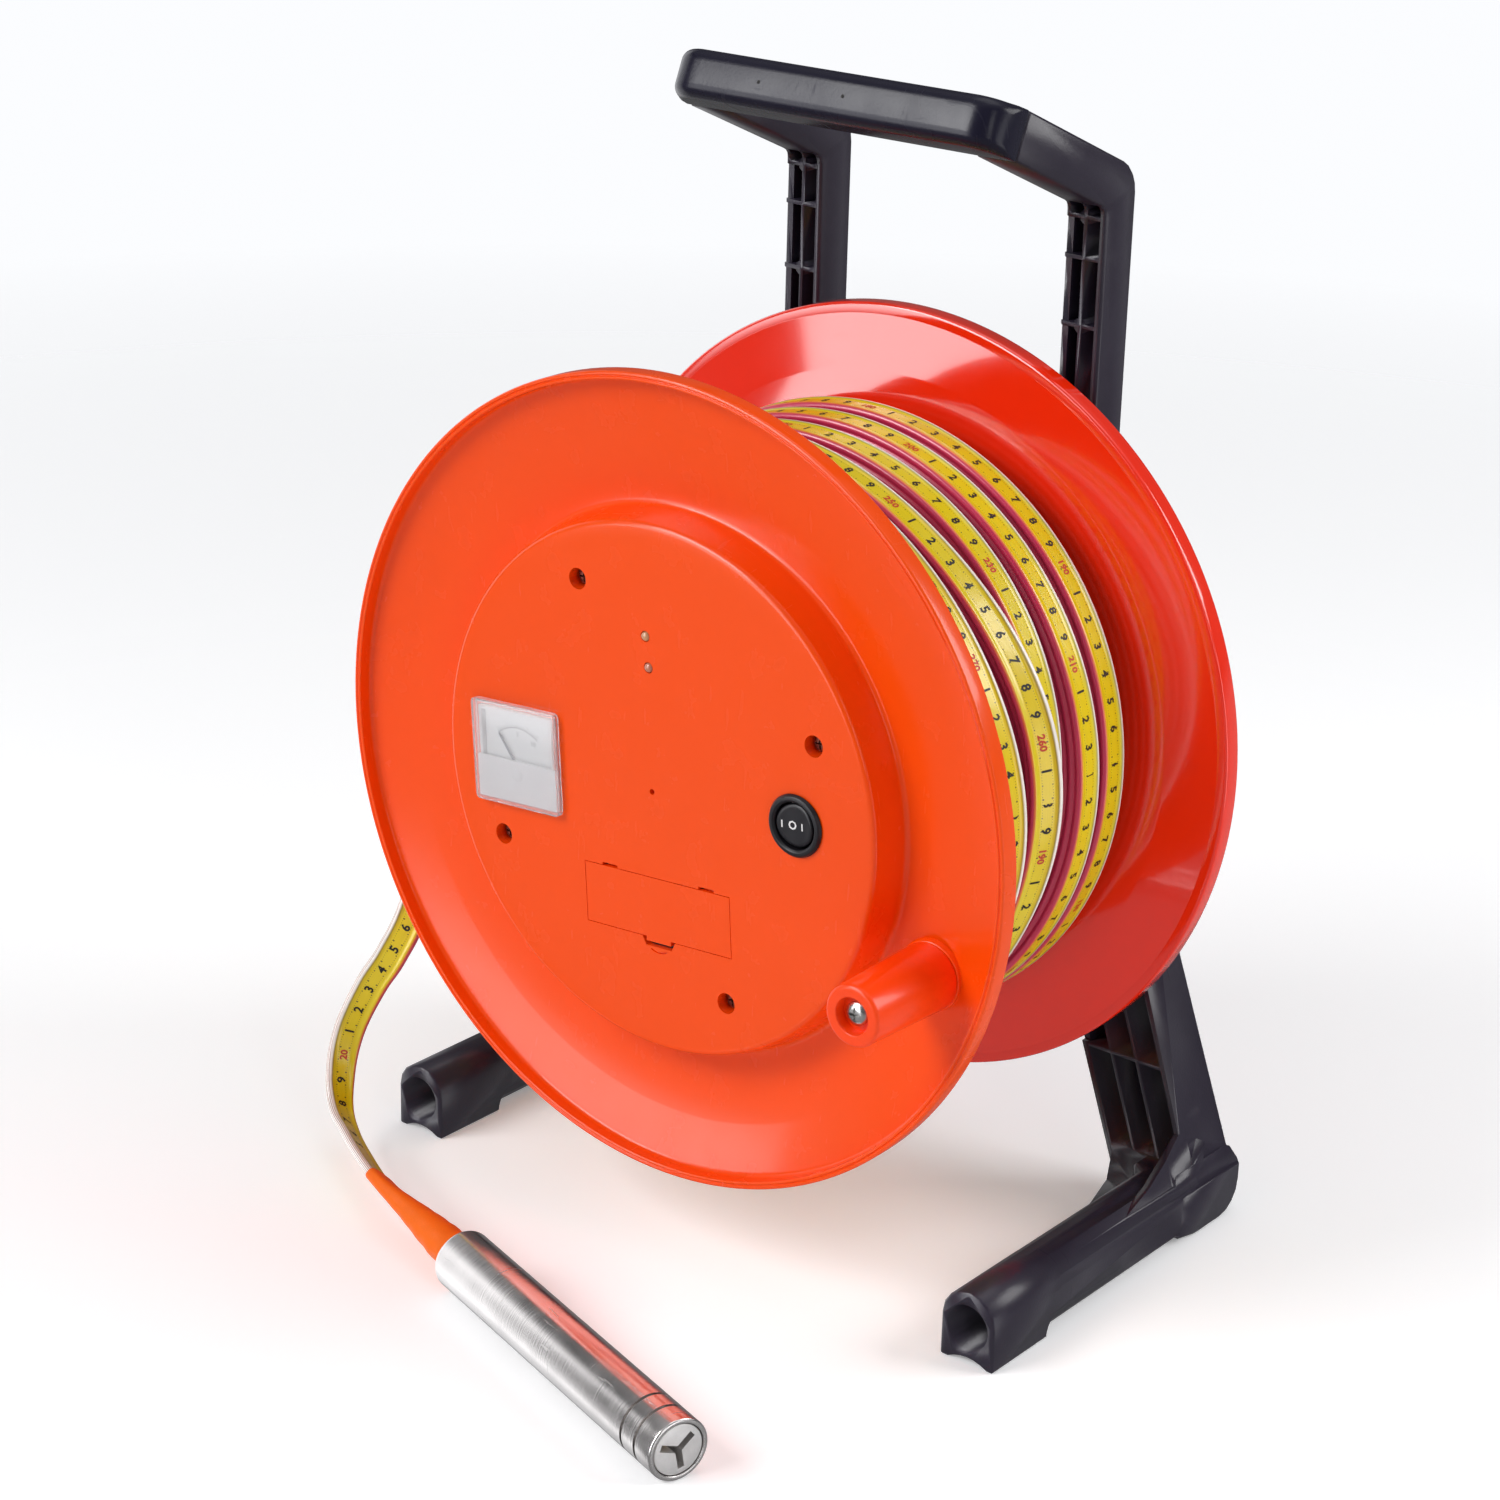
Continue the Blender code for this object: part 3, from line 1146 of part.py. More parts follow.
def hub_crossbar(bench, stand, materials):
    """The ribbed plate screwed across the backs of the side frames, with the axle's boss in front."""
    top_x, top_y = CROSSBAR_TOP
    low_x, low_y = CROSSBAR_BOTTOM
    points = [(-low_x, low_y), (low_x, low_y), (top_x, top_y), (-top_x, top_y)]
    corners = [(x, y, CROSSBAR_CORNER) for x, y in points]
    front = -STAND_BACK - GAP
    back = front - CROSSBAR_THICKNESS
    bar = bench.part("hub_crossbar", plate(rounded(corners), back, front), materials["black"], stand)
    embedded = front - CROSSBAR_THICKNESS / 2
    join(bar, bench.guide(rod(HUB_BOSS_RADIUS, embedded, -HUB_BOSS_FRONT), stand))
    between = 2 * (STRUT_OUTER - STRUT_WIDTH - 2 * GAP)
    rib_front = -STAND_FRONT - STAND_DEPTH / 3
    levels = (-HUB_BOSS_RADIUS * 0.8, HUB_BOSS_RADIUS * 0.8)
    ribs = [box(between, STRUT_WALL, embedded, rib_front, at=(0, y)) for y in levels]
    join(bar, bench.guide(gather(ribs), stand))
    holes = [rod(AXLE_RADIUS + GAP, back - SKIN, -STAND_FRONT + STAND_DEPTH)]
    spots = [hub_screw_at(level, side) for side in (-1, 1) for level in HUB_SCREW_LEVELS]
    holes += [rod(SCREW_RADIUS + GAP, back - SKIN, front + SKIN, SCREW_SIDES, at=p) for p in spots]
    cut(bar, bench.guide(gather(holes), stand))
    for number, (x, y) in enumerate(spots, start=1):
        at = (x, y, back - GAP - SCREW_HEAD_LENGTH)
        name = f"hub_screw_{number}"
        screw = bench.part(name, screw_profile(), materials["steel"], stand, at=at, turn=(0, pi, 0))
        spin(screw, SCREW_SIDES)


def probe(bench, stand, materials):
    """The steel probe on the floor: tube, slotted tip, and the electrode in its insulator."""
    run = Vector((PROBE_END[0] - PROBE_START[0], PROBE_END[1] - PROBE_START[1]))
    length = run.length
    heading = Vector((run.y, run.x)).angle_signed(Vector((1, 0)))
    at = (PROBE_START[0], FLOOR + PROBE_RADIUS, PROBE_START[1])
    line = bench.frame("probe_axis", at, (0, heading, 0), stand)
    inside = PROBE_RADIUS - PROBE_WALL
    section = [
        (inside, length),
        (PROBE_RADIUS - PROBE_RIM, length),
        (PROBE_RADIUS, length - PROBE_RIM),
        (PROBE_RADIUS, PROBE_CHAMFER),
        (PROBE_RADIUS - PROBE_CHAMFER, 0),
        (0, 0),
    ]
    section = [(0, PROBE_BACK_WALL), (inside, PROBE_BACK_WALL), *section]
    tube = bench.part("probe_tube", profile(section), materials["steel"], line)
    spin(tube, SHAFT_SIDES)
    slots = []
    for place in PROBE_SLOTS:
        low = length - place - PROBE_SLOT_WIDTH
        slots.append(box(3 * PROBE_RADIUS, 2 * PROBE_RADIUS, low, length - place, at=(0, PROBE_RADIUS * 1.1)))
    cut(tube, bench.guide(gather(slots), line, turn=(0, 0, PROBE_SLOT_TURN)))
    fit = inside - GAP
    tip = bench.part("probe_tip", rod(fit, length - TIP_LENGTH, length - GAP), materials["steel"], line)
    arms = []
    for k in range(3):
        reach = TIP_ARM_REACH + TIP_ARM_WIDTH
        arm = box(reach, TIP_ARM_WIDTH, length - TIP_FLOOR, length + SKIN, at=(TIP_ARM_REACH / 2, 0))
        arm.transform(Matrix.Rotation(radians(TIP_ARM_TURN + 120 * k), 4, "Z"))
        arms.append(arm)
    for arm in arms:
        cut(tip, bench.guide(arm, line))
    bore = rod(ELECTRODE_RADIUS + GAP, length - 2 * TIP_LENGTH, length - TIP_FLOOR / 2, SCREW_SIDES)
    cut(tip, bench.guide(bore, line))
    back = length - TIP_LENGTH - GAP
    section = ring(ELECTRODE_RADIUS + GAP, fit, back - INSULATOR_LENGTH, back)
    insulator = bench.part("probe_insulator", section, materials["insulator"], line)
    spin(insulator, SHAFT_SIDES)
    low = back - INSULATOR_LENGTH
    pin = rod(ELECTRODE_RADIUS, low, low + ELECTRODE_LENGTH, SCREW_SIDES)
    bench.part("probe_electrode", pin, materials["bronze"], line)


def sleeve(bench, stand, material):
    """The shrunk sleeve from the back of the probe to the tape, round at one end and flat at the other."""
    height = FLOOR + PROBE_RADIUS
    probe_run = Vector((PROBE_START[0] - PROBE_END[0], 0, PROBE_START[1] - PROBE_END[1])).normalized()
    tape_run = (Vector(TAPE_ROUTE[-2]) - Vector(TAPE_ROUTE[-1])).normalized()
    root = Vector((PROBE_START[0], height, PROBE_START[1])) + probe_run * GAP
    tip = Vector((SLEEVE_TIP[0], FLOOR + SLEEVE_TIP[2], SLEEVE_TIP[1]))
    rings = []
    for share in (0.0, 0.3, 0.65, 1.0):
        along = probe_run.lerp(tape_run, share).normalized()
        wide = Vector(SLEEVE_EDGE)
        wide = (wide - along * wide.dot(along)).normalized()
        thin = along.cross(wide)
        ease = share * share * (3 - 2 * share)
        half_wide = SLEEVE_ROOT_RADIUS + (SLEEVE_TIP_SIZE[0] - SLEEVE_ROOT_RADIUS) * ease
        half_thin = SLEEVE_ROOT_RADIUS + (SLEEVE_TIP_SIZE[1] - SLEEVE_ROOT_RADIUS) * ease
        angles = [2 * pi * i / SLEEVE_SIDES for i in range(SLEEVE_SIDES)]
        centre = root.lerp(tip, share)
        rings.append([centre + wide * half_wide * cos(a) + thin * half_thin * sin(a) for a in angles])
    bench.part("probe_sleeve", loft(rings), material, stand)


def through(route, step):
    """Points a step apart on the smooth curve through the route's points."""
    knots = [Vector(p) for p in route]
    knots = [2 * knots[0] - knots[1], *knots, 2 * knots[-1] - knots[-2]]
    points = []
    for a, b, c, d in zip(knots, knots[1:], knots[2:], knots[3:]):
        pieces = max(1, round((c - b).length / step))
        for i in range(pieces):
            t = i / pieces
            points.append(
                b
                + (c - a) * (t / 2)
                + (2 * a - 5 * b + 4 * c - d) * (t * t / 2)
                + (3 * b - a - 3 * c + d) * (t * t * t / 2)
            )
    return [*points, knots[-2]]


def free_tape(bench, stand, material):
    """The end of the tape, from where it leaves the winding to the sleeve of the probe."""
    points = through(TAPE_ROUTE, TAPE_STEP)
    curve = bpy.data.curves.new("route", "CURVE")
    curve.dimensions = "3D"
    curve.bevel_depth = TAPE_THICKNESS / 2
    curve.bevel_resolution = 2
    curve.use_fill_caps = True
    spline = curve.splines.new("POLY")
    spline.points.add(len(points) - 1)
    for point, place in zip(spline.points, points):
        point.co = (*place, 1)
    drawn = bpy.data.objects.new("route", curve)
    bpy.context.scene.collection.objects.link(drawn)
    depsgraph = bpy.context.evaluated_depsgraph_get()
    mesh = bpy.data.meshes.new_from_object(drawn.evaluated_get(depsgraph))
    bpy.data.objects.remove(drawn)
    shape = bmesh.new()
    shape.from_mesh(mesh)
    bmesh.ops.remove_doubles(shape, verts=shape.verts, dist=MERGE)
    bench.part("tape_end", from_bmesh(shape), material, stand)


def build():
    """Builds the whole meter."""
    for old in list(bpy.data.objects):
        bpy.data.objects.remove(old)
    bench = Bench("water_level_meter")
    materials = make_materials()
    stand = bench.frame("stand_axes", (0, RIM_Y, AXLE_HEIGHT), (pi / 2, 0, 0))
    reel = bench.frame("reel_axes", (0, RIM_Y, AXLE_HEIGHT), (pi / 2, -REEL_TURN, 0))

    front_flange(bench, reel, materials["orange"])
    front_hub, front_hub_back = drum(bench, reel, materials["drum"])
    rear_hub, rear_hub_back = rear_flange(bench, reel, materials["orange"])
    winding(bench, reel, materials["tape"])
    reel_screws(bench, reel, materials["steel"])
    front_collar = bush(bench, "front_bush", reel, materials["bronze"], front_hub, front_hub_back)
    rear_collar = bush(bench, "rear_bush", reel, materials["bronze"], rear_hub_back, rear_hub)
    panel_meter(bench, reel, materials)
    rocker_switch(bench, reel, materials["switch"])
    battery_door(bench, reel, materials["orange"])
    battery(bench, reel, materials)
    electronics(bench, reel, materials)
    crank(bench, reel, materials)

    side_frame(bench, "left_side_frame", stand, materials["black"], -1)
    side_frame(bench, "right_side_frame", stand, materials["black"], 1)
    grip_bar(bench, stand, materials["black"])
    hub_crossbar(bench, stand, materials)
    axle(bench, stand, materials["steel"], front_collar, rear_collar)

    free_tape(bench, stand, materials["tape"])
    sleeve(bench, stand, materials["sleeve"])
    probe(bench, stand, materials)


build()
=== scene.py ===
"""Looks of the water level meter: its finishes, its printed tape, its mouldings and the studio round it.

Shapes are worked out in two sets of axes, one fixed to the stand and one turned with the reel. In both, the
origin is on the axle's line in the plane of the front rim, x runs to the right, y up and z to the viewer.
"""

from __future__ import annotations

import json
import logging
from dataclasses import dataclass, field
from enum import Enum
from functools import cache
from math import cos, pi, radians, sin, tan

import bmesh
import bpy
import numpy as np
from mathutils import Matrix

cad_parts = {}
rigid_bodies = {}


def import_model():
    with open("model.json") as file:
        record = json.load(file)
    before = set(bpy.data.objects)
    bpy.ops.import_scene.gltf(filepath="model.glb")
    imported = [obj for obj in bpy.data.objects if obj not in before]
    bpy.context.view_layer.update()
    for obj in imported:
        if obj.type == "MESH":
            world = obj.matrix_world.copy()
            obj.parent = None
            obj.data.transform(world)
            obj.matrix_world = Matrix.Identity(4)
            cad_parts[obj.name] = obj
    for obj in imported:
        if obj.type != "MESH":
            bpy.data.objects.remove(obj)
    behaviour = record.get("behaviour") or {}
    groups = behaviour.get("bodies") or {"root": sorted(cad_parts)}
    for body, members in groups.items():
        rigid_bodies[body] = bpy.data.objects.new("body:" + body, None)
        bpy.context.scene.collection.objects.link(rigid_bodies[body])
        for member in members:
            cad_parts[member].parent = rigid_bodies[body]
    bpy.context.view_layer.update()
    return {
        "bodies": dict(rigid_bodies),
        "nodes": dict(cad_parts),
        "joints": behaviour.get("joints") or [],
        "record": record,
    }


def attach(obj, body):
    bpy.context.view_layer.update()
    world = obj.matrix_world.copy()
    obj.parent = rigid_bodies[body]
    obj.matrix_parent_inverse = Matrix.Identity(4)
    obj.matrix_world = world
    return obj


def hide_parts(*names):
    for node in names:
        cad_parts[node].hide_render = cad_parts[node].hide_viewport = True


LOG = logging.getLogger("water_level_meter")

Array = np.ndarray
Colour = tuple[float, float, float]

MM = 0.001
AXLE_HEIGHT = 185.4 * MM
RIM_Y = -77.95 * MM
REEL_TURN = radians(4.2)
GAP = 0.3 * MM
# Range of the printed web in a tape section's pattern.
WEB_BAND = (0.38, 0.70)


# Shapes


@dataclass(frozen=True)
class Axes:
    """Axes on the axle's line in the front rim's plane.

    Attributes:
        turn: angle of the axes about the axle, anticlockwise as the viewer sees it.
    """

    turn: float = 0.0

    def world(self, points: Array) -> Array:
        """Gives world places: turned about z by the turn, then x, y and z run right, up and out of the rim.

        Args:
            points: places in these axes, with x, y and z in the last dimension.

        Returns:
            The same places in the world.
        """
        x, y, z = np.moveaxis(np.asarray(points, dtype=float), -1, 0)
        c, s = cos(self.turn), sin(self.turn)
        return np.stack([x * c - y * s, RIM_Y - z, AXLE_HEIGHT + x * s + y * c], axis=-1)


STAND = Axes()
REEL = Axes(REEL_TURN)


def unit(vectors: Array) -> Array:
    """Scales each vector, in the last dimension, to a length of one."""
    return vectors / np.linalg.norm(vectors, axis=-1, keepdims=True)


def polar(radius: float, degrees: float) -> tuple[float, float]:
    """Gives the point of the xy plane at a radius and an angle."""
    return radius * cos(radians(degrees)), radius * sin(radians(degrees))


def soften(corners: Array, radii: Array | float, steps: int = 6) -> Array:
    """Rounds an outline's corners with arcs.

    At a corner, the arc's centre lies on the line that halves it, radius / sin(half angle) away. The arc is
    the spherical blend of the two directions from that centre to the touching points.

    Args:
        corners: (n, 2) points of a closed outline.
        radii: radius of each corner, or one for all. A corner of radius 0 stays sharp.
        steps: points on each arc.

    Returns:
        (m, 2) points of the rounded outline.
    """
    corner = np.asarray(corners, dtype=float)
    radius = np.broadcast_to(np.asarray(radii, dtype=float), corner.shape[:1])
    back = unit(np.roll(corner, 1, axis=0) - corner)
    ahead = unit(np.roll(corner, -1, axis=0) - corner)
    half = np.arccos(np.clip((back * ahead).sum(axis=1), -1.0, 1.0)) / 2
    half = np.minimum(half, pi / 2 - 1e-6)
    centre = corner + unit(back + ahead + 1e-12) * (radius / np.sin(half))[:, None]
    reach = (radius / np.tan(half))[:, None]
    first, last = corner + back * reach - centre, corner + ahead * reach - centre
    sweep = (pi - 2 * half)[:, None, None]
    t = np.linspace(0.0, 1.0, steps)[None, :, None]
    arc = (np.sin((1 - t) * sweep) * first[:, None] + np.sin(t * sweep) * last[:, None]) / np.sin(sweep)
    points = centre[:, None] + arc
    kept = (radius[:, None] > 0) | (np.arange(steps)[None, :] == 0)
    return points[kept]


def rectangle(width: float, height: float, centre: tuple[float, float] = (0.0, 0.0)) -> Array:
    """Gives the four corners of a rectangle, anticlockwise."""
    signs = np.array([(-1, -1), (1, -1), (1, 1), (-1, 1)])
    return np.asarray(centre) + signs * (width / 2, height / 2)


def circle(radius: float, centre: tuple[float, float] = (0.0, 0.0), sides: int = 48) -> Array:
    """Gives the points of a circle: centre + radius (cos t, sin t)."""
    t = np.linspace(0, 2 * pi, sides, endpoint=False)
    return np.asarray(centre) + radius * np.stack([np.cos(t), np.sin(t)], axis=-1)


def put(name: str, mesh: bpy.types.Mesh) -> bpy.types.Object:
    """Makes an object of a mesh or a curve, at the origin.

    Args:
        name: the object's name.
        mesh: what it shows.

    Returns:
        The new object.
    """
    piece = bpy.data.objects.new(name, mesh)
    bpy.context.scene.collection.objects.link(piece)
    return piece


def smooth(mesh: bpy.types.Mesh, sharp: float = 38.0) -> None:
    """Shades a mesh smooth, apart from edges that turn by more than the given degrees."""
    mesh.polygons.foreach_set("use_smooth", np.ones(len(mesh.polygons), dtype=bool))
    mesh.set_sharp_from_angle(angle=radians(sharp))


def lay(
    name: str,
    grid: Array,
    uv: Array | None = None,
    wrap_rows: bool = False,
    wrap_columns: bool = False,
    capped: bool = False,
    sharp: float = 38.0,
) -> bpy.types.Object:
    """Puts a grid of points into a mesh, as one face between each four neighbours.

    Args:
        name: the object's name.
        grid: (rows, columns, 3) world places.
        uv: (rows, columns, 2) pattern coordinates, with one more row or column where the grid wraps.
        wrap_rows: whether the last row joins the first.
        wrap_columns: whether the last column joins the first.
        capped: whether the first and last rows are closed with a face each.
        sharp: degrees from which an edge is shaded sharp.

    Returns:
        The new object.
    """
    rows, columns, _ = grid.shape
    row, column = np.meshgrid(
        np.arange(rows if wrap_rows else rows - 1),
        np.arange(columns if wrap_columns else columns - 1),
        indexing="ij",
    )
    corners = [(row, column), (row, column + 1), (row + 1, column + 1), (row + 1, column)]
    faces = np.stack(
        [(a % rows) * columns + b % columns for a, b in corners], axis=-1
    ).reshape(-1, 4).tolist()
    if capped:
        faces += [list(range(columns)), list(range((rows - 1) * columns, rows * columns))]
    mesh = bpy.data.meshes.new(name)
    mesh.from_pydata(grid.reshape(-1, 3).tolist(), [], faces)
    if uv is not None:
        values = np.stack([uv[a, b] for a, b in corners], axis=-2).reshape(-1, 2)
        spare = len(mesh.loops) - len(values)
        values = np.concatenate([values, np.zeros((spare, 2))])
        mesh.uv_layers.new(name="UVMap").data.foreach_set("uv", values.ravel())
    shape = bmesh.new()
    shape.from_mesh(mesh)
    bmesh.ops.remove_doubles(shape, verts=shape.verts, dist=1e-7)
    bmesh.ops.recalc_face_normals(shape, faces=shape.faces)
    shape.to_mesh(mesh)
    shape.free()
    smooth(mesh, sharp)
    return put(name, mesh)


def turn(
    name: str,
    profile: Array,
    axes: Axes,
    at: tuple[float, float] = (0.0, 0.0),
    sides: int = 96,
    ring: bool = False,
) -> bpy.types.Object:
    """Turns a profile round z: x = radius cos t, y = radius sin t, z = level.

    Args:
        name: the object's name.
        profile: (n, 2) radii and levels.
        axes: the axes that the levels are in.
        at: x and y of the turning axis.
        sides: faces round the turn.
        ring: whether the profile closes on itself, instead of ending on the axis.

    Returns:
        The new object.
    """
    t = np.linspace(0, 2 * pi, sides, endpoint=False)
    radius, level = np.asarray(profile).T
    grid = np.stack(
        [
            at[0] + np.outer(radius, np.cos(t)),
            at[1] + np.outer(radius, np.sin(t)),
            np.repeat(level[:, None], sides, axis=1),
        ],
        axis=-1,
    )
    return lay(name, axes.world(grid), wrap_rows=ring, wrap_columns=True)


def prism(
    name: str, outline: Array, low: float, high: float, axes: Axes, sharp: float = 38.0
) -> bpy.types.Object:
    """Makes an outline of the xy plane thick: the outline at the low level and again at the high one.

    Args:
        name: the object's name.
        outline: (n, 2) points of the outline.
        low: level of the first end.
        high: level of the second end.
        axes: the axes that the outline is in.
        sharp: degrees from which an edge is shaded sharp.

    Returns:
        The new object.
    """
    count = len(outline)
    levels = np.array([low, high])
    flat = np.broadcast_to(outline, (2, count, 2))
    grid = np.concatenate([flat, np.broadcast_to(levels[:, None, None], (2, count, 1))], axis=-1)
    return lay(name, axes.world(grid), wrap_columns=True, capped=True, sharp=sharp)


def apply_modifiers(piece: bpy.types.Object, sharp: float = 38.0) -> None:
    """Replaces a piece's mesh with what its modifiers make of it.

    Args:
        piece: the piece.
        sharp: degrees from which an edge is shaded sharp.
    """
    depsgraph = bpy.context.evaluated_depsgraph_get()
    mesh = bpy.data.meshes.new_from_object(piece.evaluated_get(depsgraph))
    piece.modifiers.clear()
    piece.data = mesh
    smooth(mesh, sharp)


def carve(piece: bpy.types.Object, cutters: list[bpy.types.Object]) -> None:
    """Cuts each cutter out of a piece, then removes the cutters.

    Args:
        piece: what is cut.
        cutters: closed shapes to take away.
    """
    for cutter in cutters:
        modifier = piece.modifiers.new("cut", "BOOLEAN")
        modifier.operation = "DIFFERENCE"
        modifier.solver = "EXACT"
        modifier.object = cutter
    apply_modifiers(piece)
    for cutter in cutters:
        bpy.data.objects.remove(cutter)


def bevel(piece: bpy.types.Object, width: float, segments: int = 2, angle: float = 30.0) -> None:
    """Rounds a piece's edges and makes that part of its mesh.

    Args:
        piece: the piece.
        width: how wide an edge's rounding is.
        segments: faces across the rounding.
        angle: degrees from which an edge is rounded.
    """
    modifier = piece.modifiers.new("bevel", "BEVEL")
    modifier.width = width
    modifier.segments = segments
    modifier.limit_method = "ANGLE"
    modifier.angle_limit = radians(angle)
    modifier.miter_outer = "MITER_ARC"
    modifier.harden_normals = False
    apply_modifiers(piece)


def softened(node: str, name: str, width: float = 0.0, segments: int = 2) -> bpy.types.Object:
    """Makes a piece from a merged copy of a CAD node's mesh, and rounds its edges where a width is given.

    Args:
        node: the CAD node that the piece stands for.
        name: the piece's name.
        width: how wide an edge's rounding is, or 0 for the edges as they are.
        segments: faces across the rounding.

    Returns:
        The new piece.
    """
    shape = bmesh.new()
    shape.from_mesh(bpy.data.objects[node].data)
    bmesh.ops.remove_doubles(shape, verts=shape.verts, dist=2e-6)
    if width:
        bmesh.ops.dissolve_limit(
            shape, angle_limit=radians(0.4), verts=shape.verts, edges=shape.edges, delimit={"NORMAL"}
        )
    mesh = bpy.data.meshes.new(name)
    shape.to_mesh(mesh)
    shape.free()
    piece = put(name, mesh)
    if width:
        bevel(piece, width, segments)
    else:
        smooth(mesh, 30.0)
    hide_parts(node)
    return piece


def gather(name: str, stamps: list[tuple[Array, list[tuple[int, ...]]]]) -> bpy.types.Object:
    """Puts many small flat shapes into one mesh.

    Args:
        name: the object's name.
        stamps: the world places and the faces of each shape.

    Returns:
        The new object.
    """
    offsets = np.cumsum([0] + [len(points) for points, _ in stamps])
    places = np.concatenate([points for points, _ in stamps])
    faces = [tuple(i + int(start) for i in f) for start, (_, fs) in zip(offsets, stamps) for f in fs]
    mesh = bpy.data.meshes.new(name)
    mesh.from_pydata(places.tolist(), [], faces)
    return put(name, mesh)


# Shader node groups and finishes


class Sockets:
    """A small hand for laying out shader nodes: makes nodes and joins their sockets."""

    def __init__(self, tree: bpy.types.NodeTree) -> None:
        """Starts on an empty tree."""
        self.tree = tree
        tree.nodes.clear()

    def node(self, kind: str, **values: object) -> bpy.types.Node:
        """Adds a node and sets its own properties.

        Args:
            kind: the node's type.
            values: its properties by name.

        Returns:
            The new node.
        """
        made = self.tree.nodes.new(kind)
        for key, value in values.items():
            setattr(made, key, value)
        return made

    def feed(self, node: bpy.types.Node, **inputs: object) -> bpy.types.Node:
        """Sets or joins a node's inputs.

        Args:
            node: the node.
            inputs: values or sockets by the input's name with underscores for spaces, or by _ and its number.

        Returns:
            The same node.
        """
        for key, value in inputs.items():
            socket = node.inputs[int(key[1:])] if key[0] == "_" else node.inputs[key.replace("_", " ")]
            if isinstance(value, bpy.types.NodeSocket):
                self.tree.links.new(value, socket)
            else:
                socket.default_value = value
        return node

    def math(self, operation: str, *inputs: object, clamp: bool = False) -> bpy.types.NodeSocket:
        """Adds a Math node.

        Args:
            operation: what it works out.
            inputs: numbers or sockets.
            clamp: whether the result stays between 0 and 1.

        Returns:
            The result.
        """
        made = self.node("ShaderNodeMath", operation=operation, use_clamp=clamp)
        self.feed(made, **{f"_{i}": value for i, value in enumerate(inputs)})
        return made.outputs[0]

    def product(self, first: object, *factors: object) -> object:
        """Multiplies numbers or sockets: first x each of the factors in turn.

        Args:
            first: the first of them.
            factors: the others.

        Returns:
            The product.
        """
        result = first
        for factor in factors:
            result = self.math("MULTIPLY", result, factor)
        return result

    def mix(self, factor: object, low: object, high: object, blend: str = "MIX") -> bpy.types.NodeSocket:
        """Adds a colour Mix node.

        Args:
            factor: share of the second colour.
            low: the first colour.
            high: the second colour.
            blend: how the second is laid over the first.

        Returns:
            The mixed colour.
        """
        made = self.node("ShaderNodeMix", data_type="RGBA", blend_type=blend)
        self.feed(made, _0=factor, _6=low, _7=high)
        return made.outputs[2]

    def noise(self, where: bpy.types.NodeSocket, scale: object, detail: float = 3.0) -> bpy.types.NodeSocket:
        """Adds a Noise texture over a place, and gives its value."""
        made = self.feed(self.node("ShaderNodeTexNoise"), Vector=where, Scale=scale, Detail=detail)
        return made.outputs["Fac"]

    def remap(
        self, value: object, low: float, high: float, to_low: object, to_high: object
    ) -> bpy.types.NodeSocket:
        """Maps a value's range onto another, clamped.

        Args:
            value: the value.
            low: where the range starts.
            high: where it ends.
            to_low: result at the start.
            to_high: result at the end.

        Returns:
            The result.
        """
        made = self.feed(self.node("ShaderNodeMapRange"), Value=value, From_Min=low, From_Max=high)
        self.feed(made, To_Min=to_low, To_Max=to_high)
        return made.outputs["Result"]


def shader_group(name: str, inputs: dict[str, tuple[str, object]], outputs: dict[str, str]) -> tuple:
    """Starts a shader node group with named sockets.

    Args:
        name: the group's name.
        inputs: each input's kind (Float, Color or Vector) and its first value.
        outputs: each output's kind.

    Returns:
        The group, a hand for its nodes, the input node and the output node.
    """
    tree = bpy.data.node_groups.new(name, "ShaderNodeTree")
    hand = Sockets(tree)
    for key, (kind, value) in inputs.items():
        socket = tree.interface.new_socket(key, in_out="INPUT", socket_type=f"NodeSocket{kind}")
        socket.default_value = value
    for key, kind in outputs.items():
        tree.interface.new_socket(key, in_out="OUTPUT", socket_type=f"NodeSocket{kind}")
    return tree, hand, hand.node("NodeGroupInput").outputs, hand.node("NodeGroupOutput")


@cache
def mottle_group() -> bpy.types.NodeTree:
    """Builds the group that lets a colour drift: broad clouds and small flecks lighten and darken it.

    Returns:
        The group.
    """
    tree, hand, given, out = shader_group(
        "mottle",
        {
            "Place": ("Vector", (0, 0, 0)),
            "Color": ("Color", (1, 1, 1, 1)),
            "Scale": ("Float", 20.0),
            "Amount": ("Float", 0.1),
        },
        {"Color": "Color"},
    )
    broad = hand.noise(given["Place"], given["Scale"], 2.0)
    fine = hand.noise(given["Place"], hand.math("MULTIPLY", given["Scale"], 17.0), 4.0)
    drift = hand.math("MULTIPLY_ADD", fine, 0.35, hand.math("MULTIPLY", broad, 0.65))
    drift = hand.math("SUBTRACT", drift, 0.5)
    gain = hand.math("MULTIPLY_ADD", hand.math("MULTIPLY", drift, given["Amount"]), 4.0, 1.0)
    grey = hand.node("ShaderNodeCombineColor")
    hand.feed(grey, Red=gain, Green=gain, Blue=gain)
    hand.feed(out, Color=hand.mix(1.0, given["Color"], grey.outputs[0], "MULTIPLY"))
    return tree


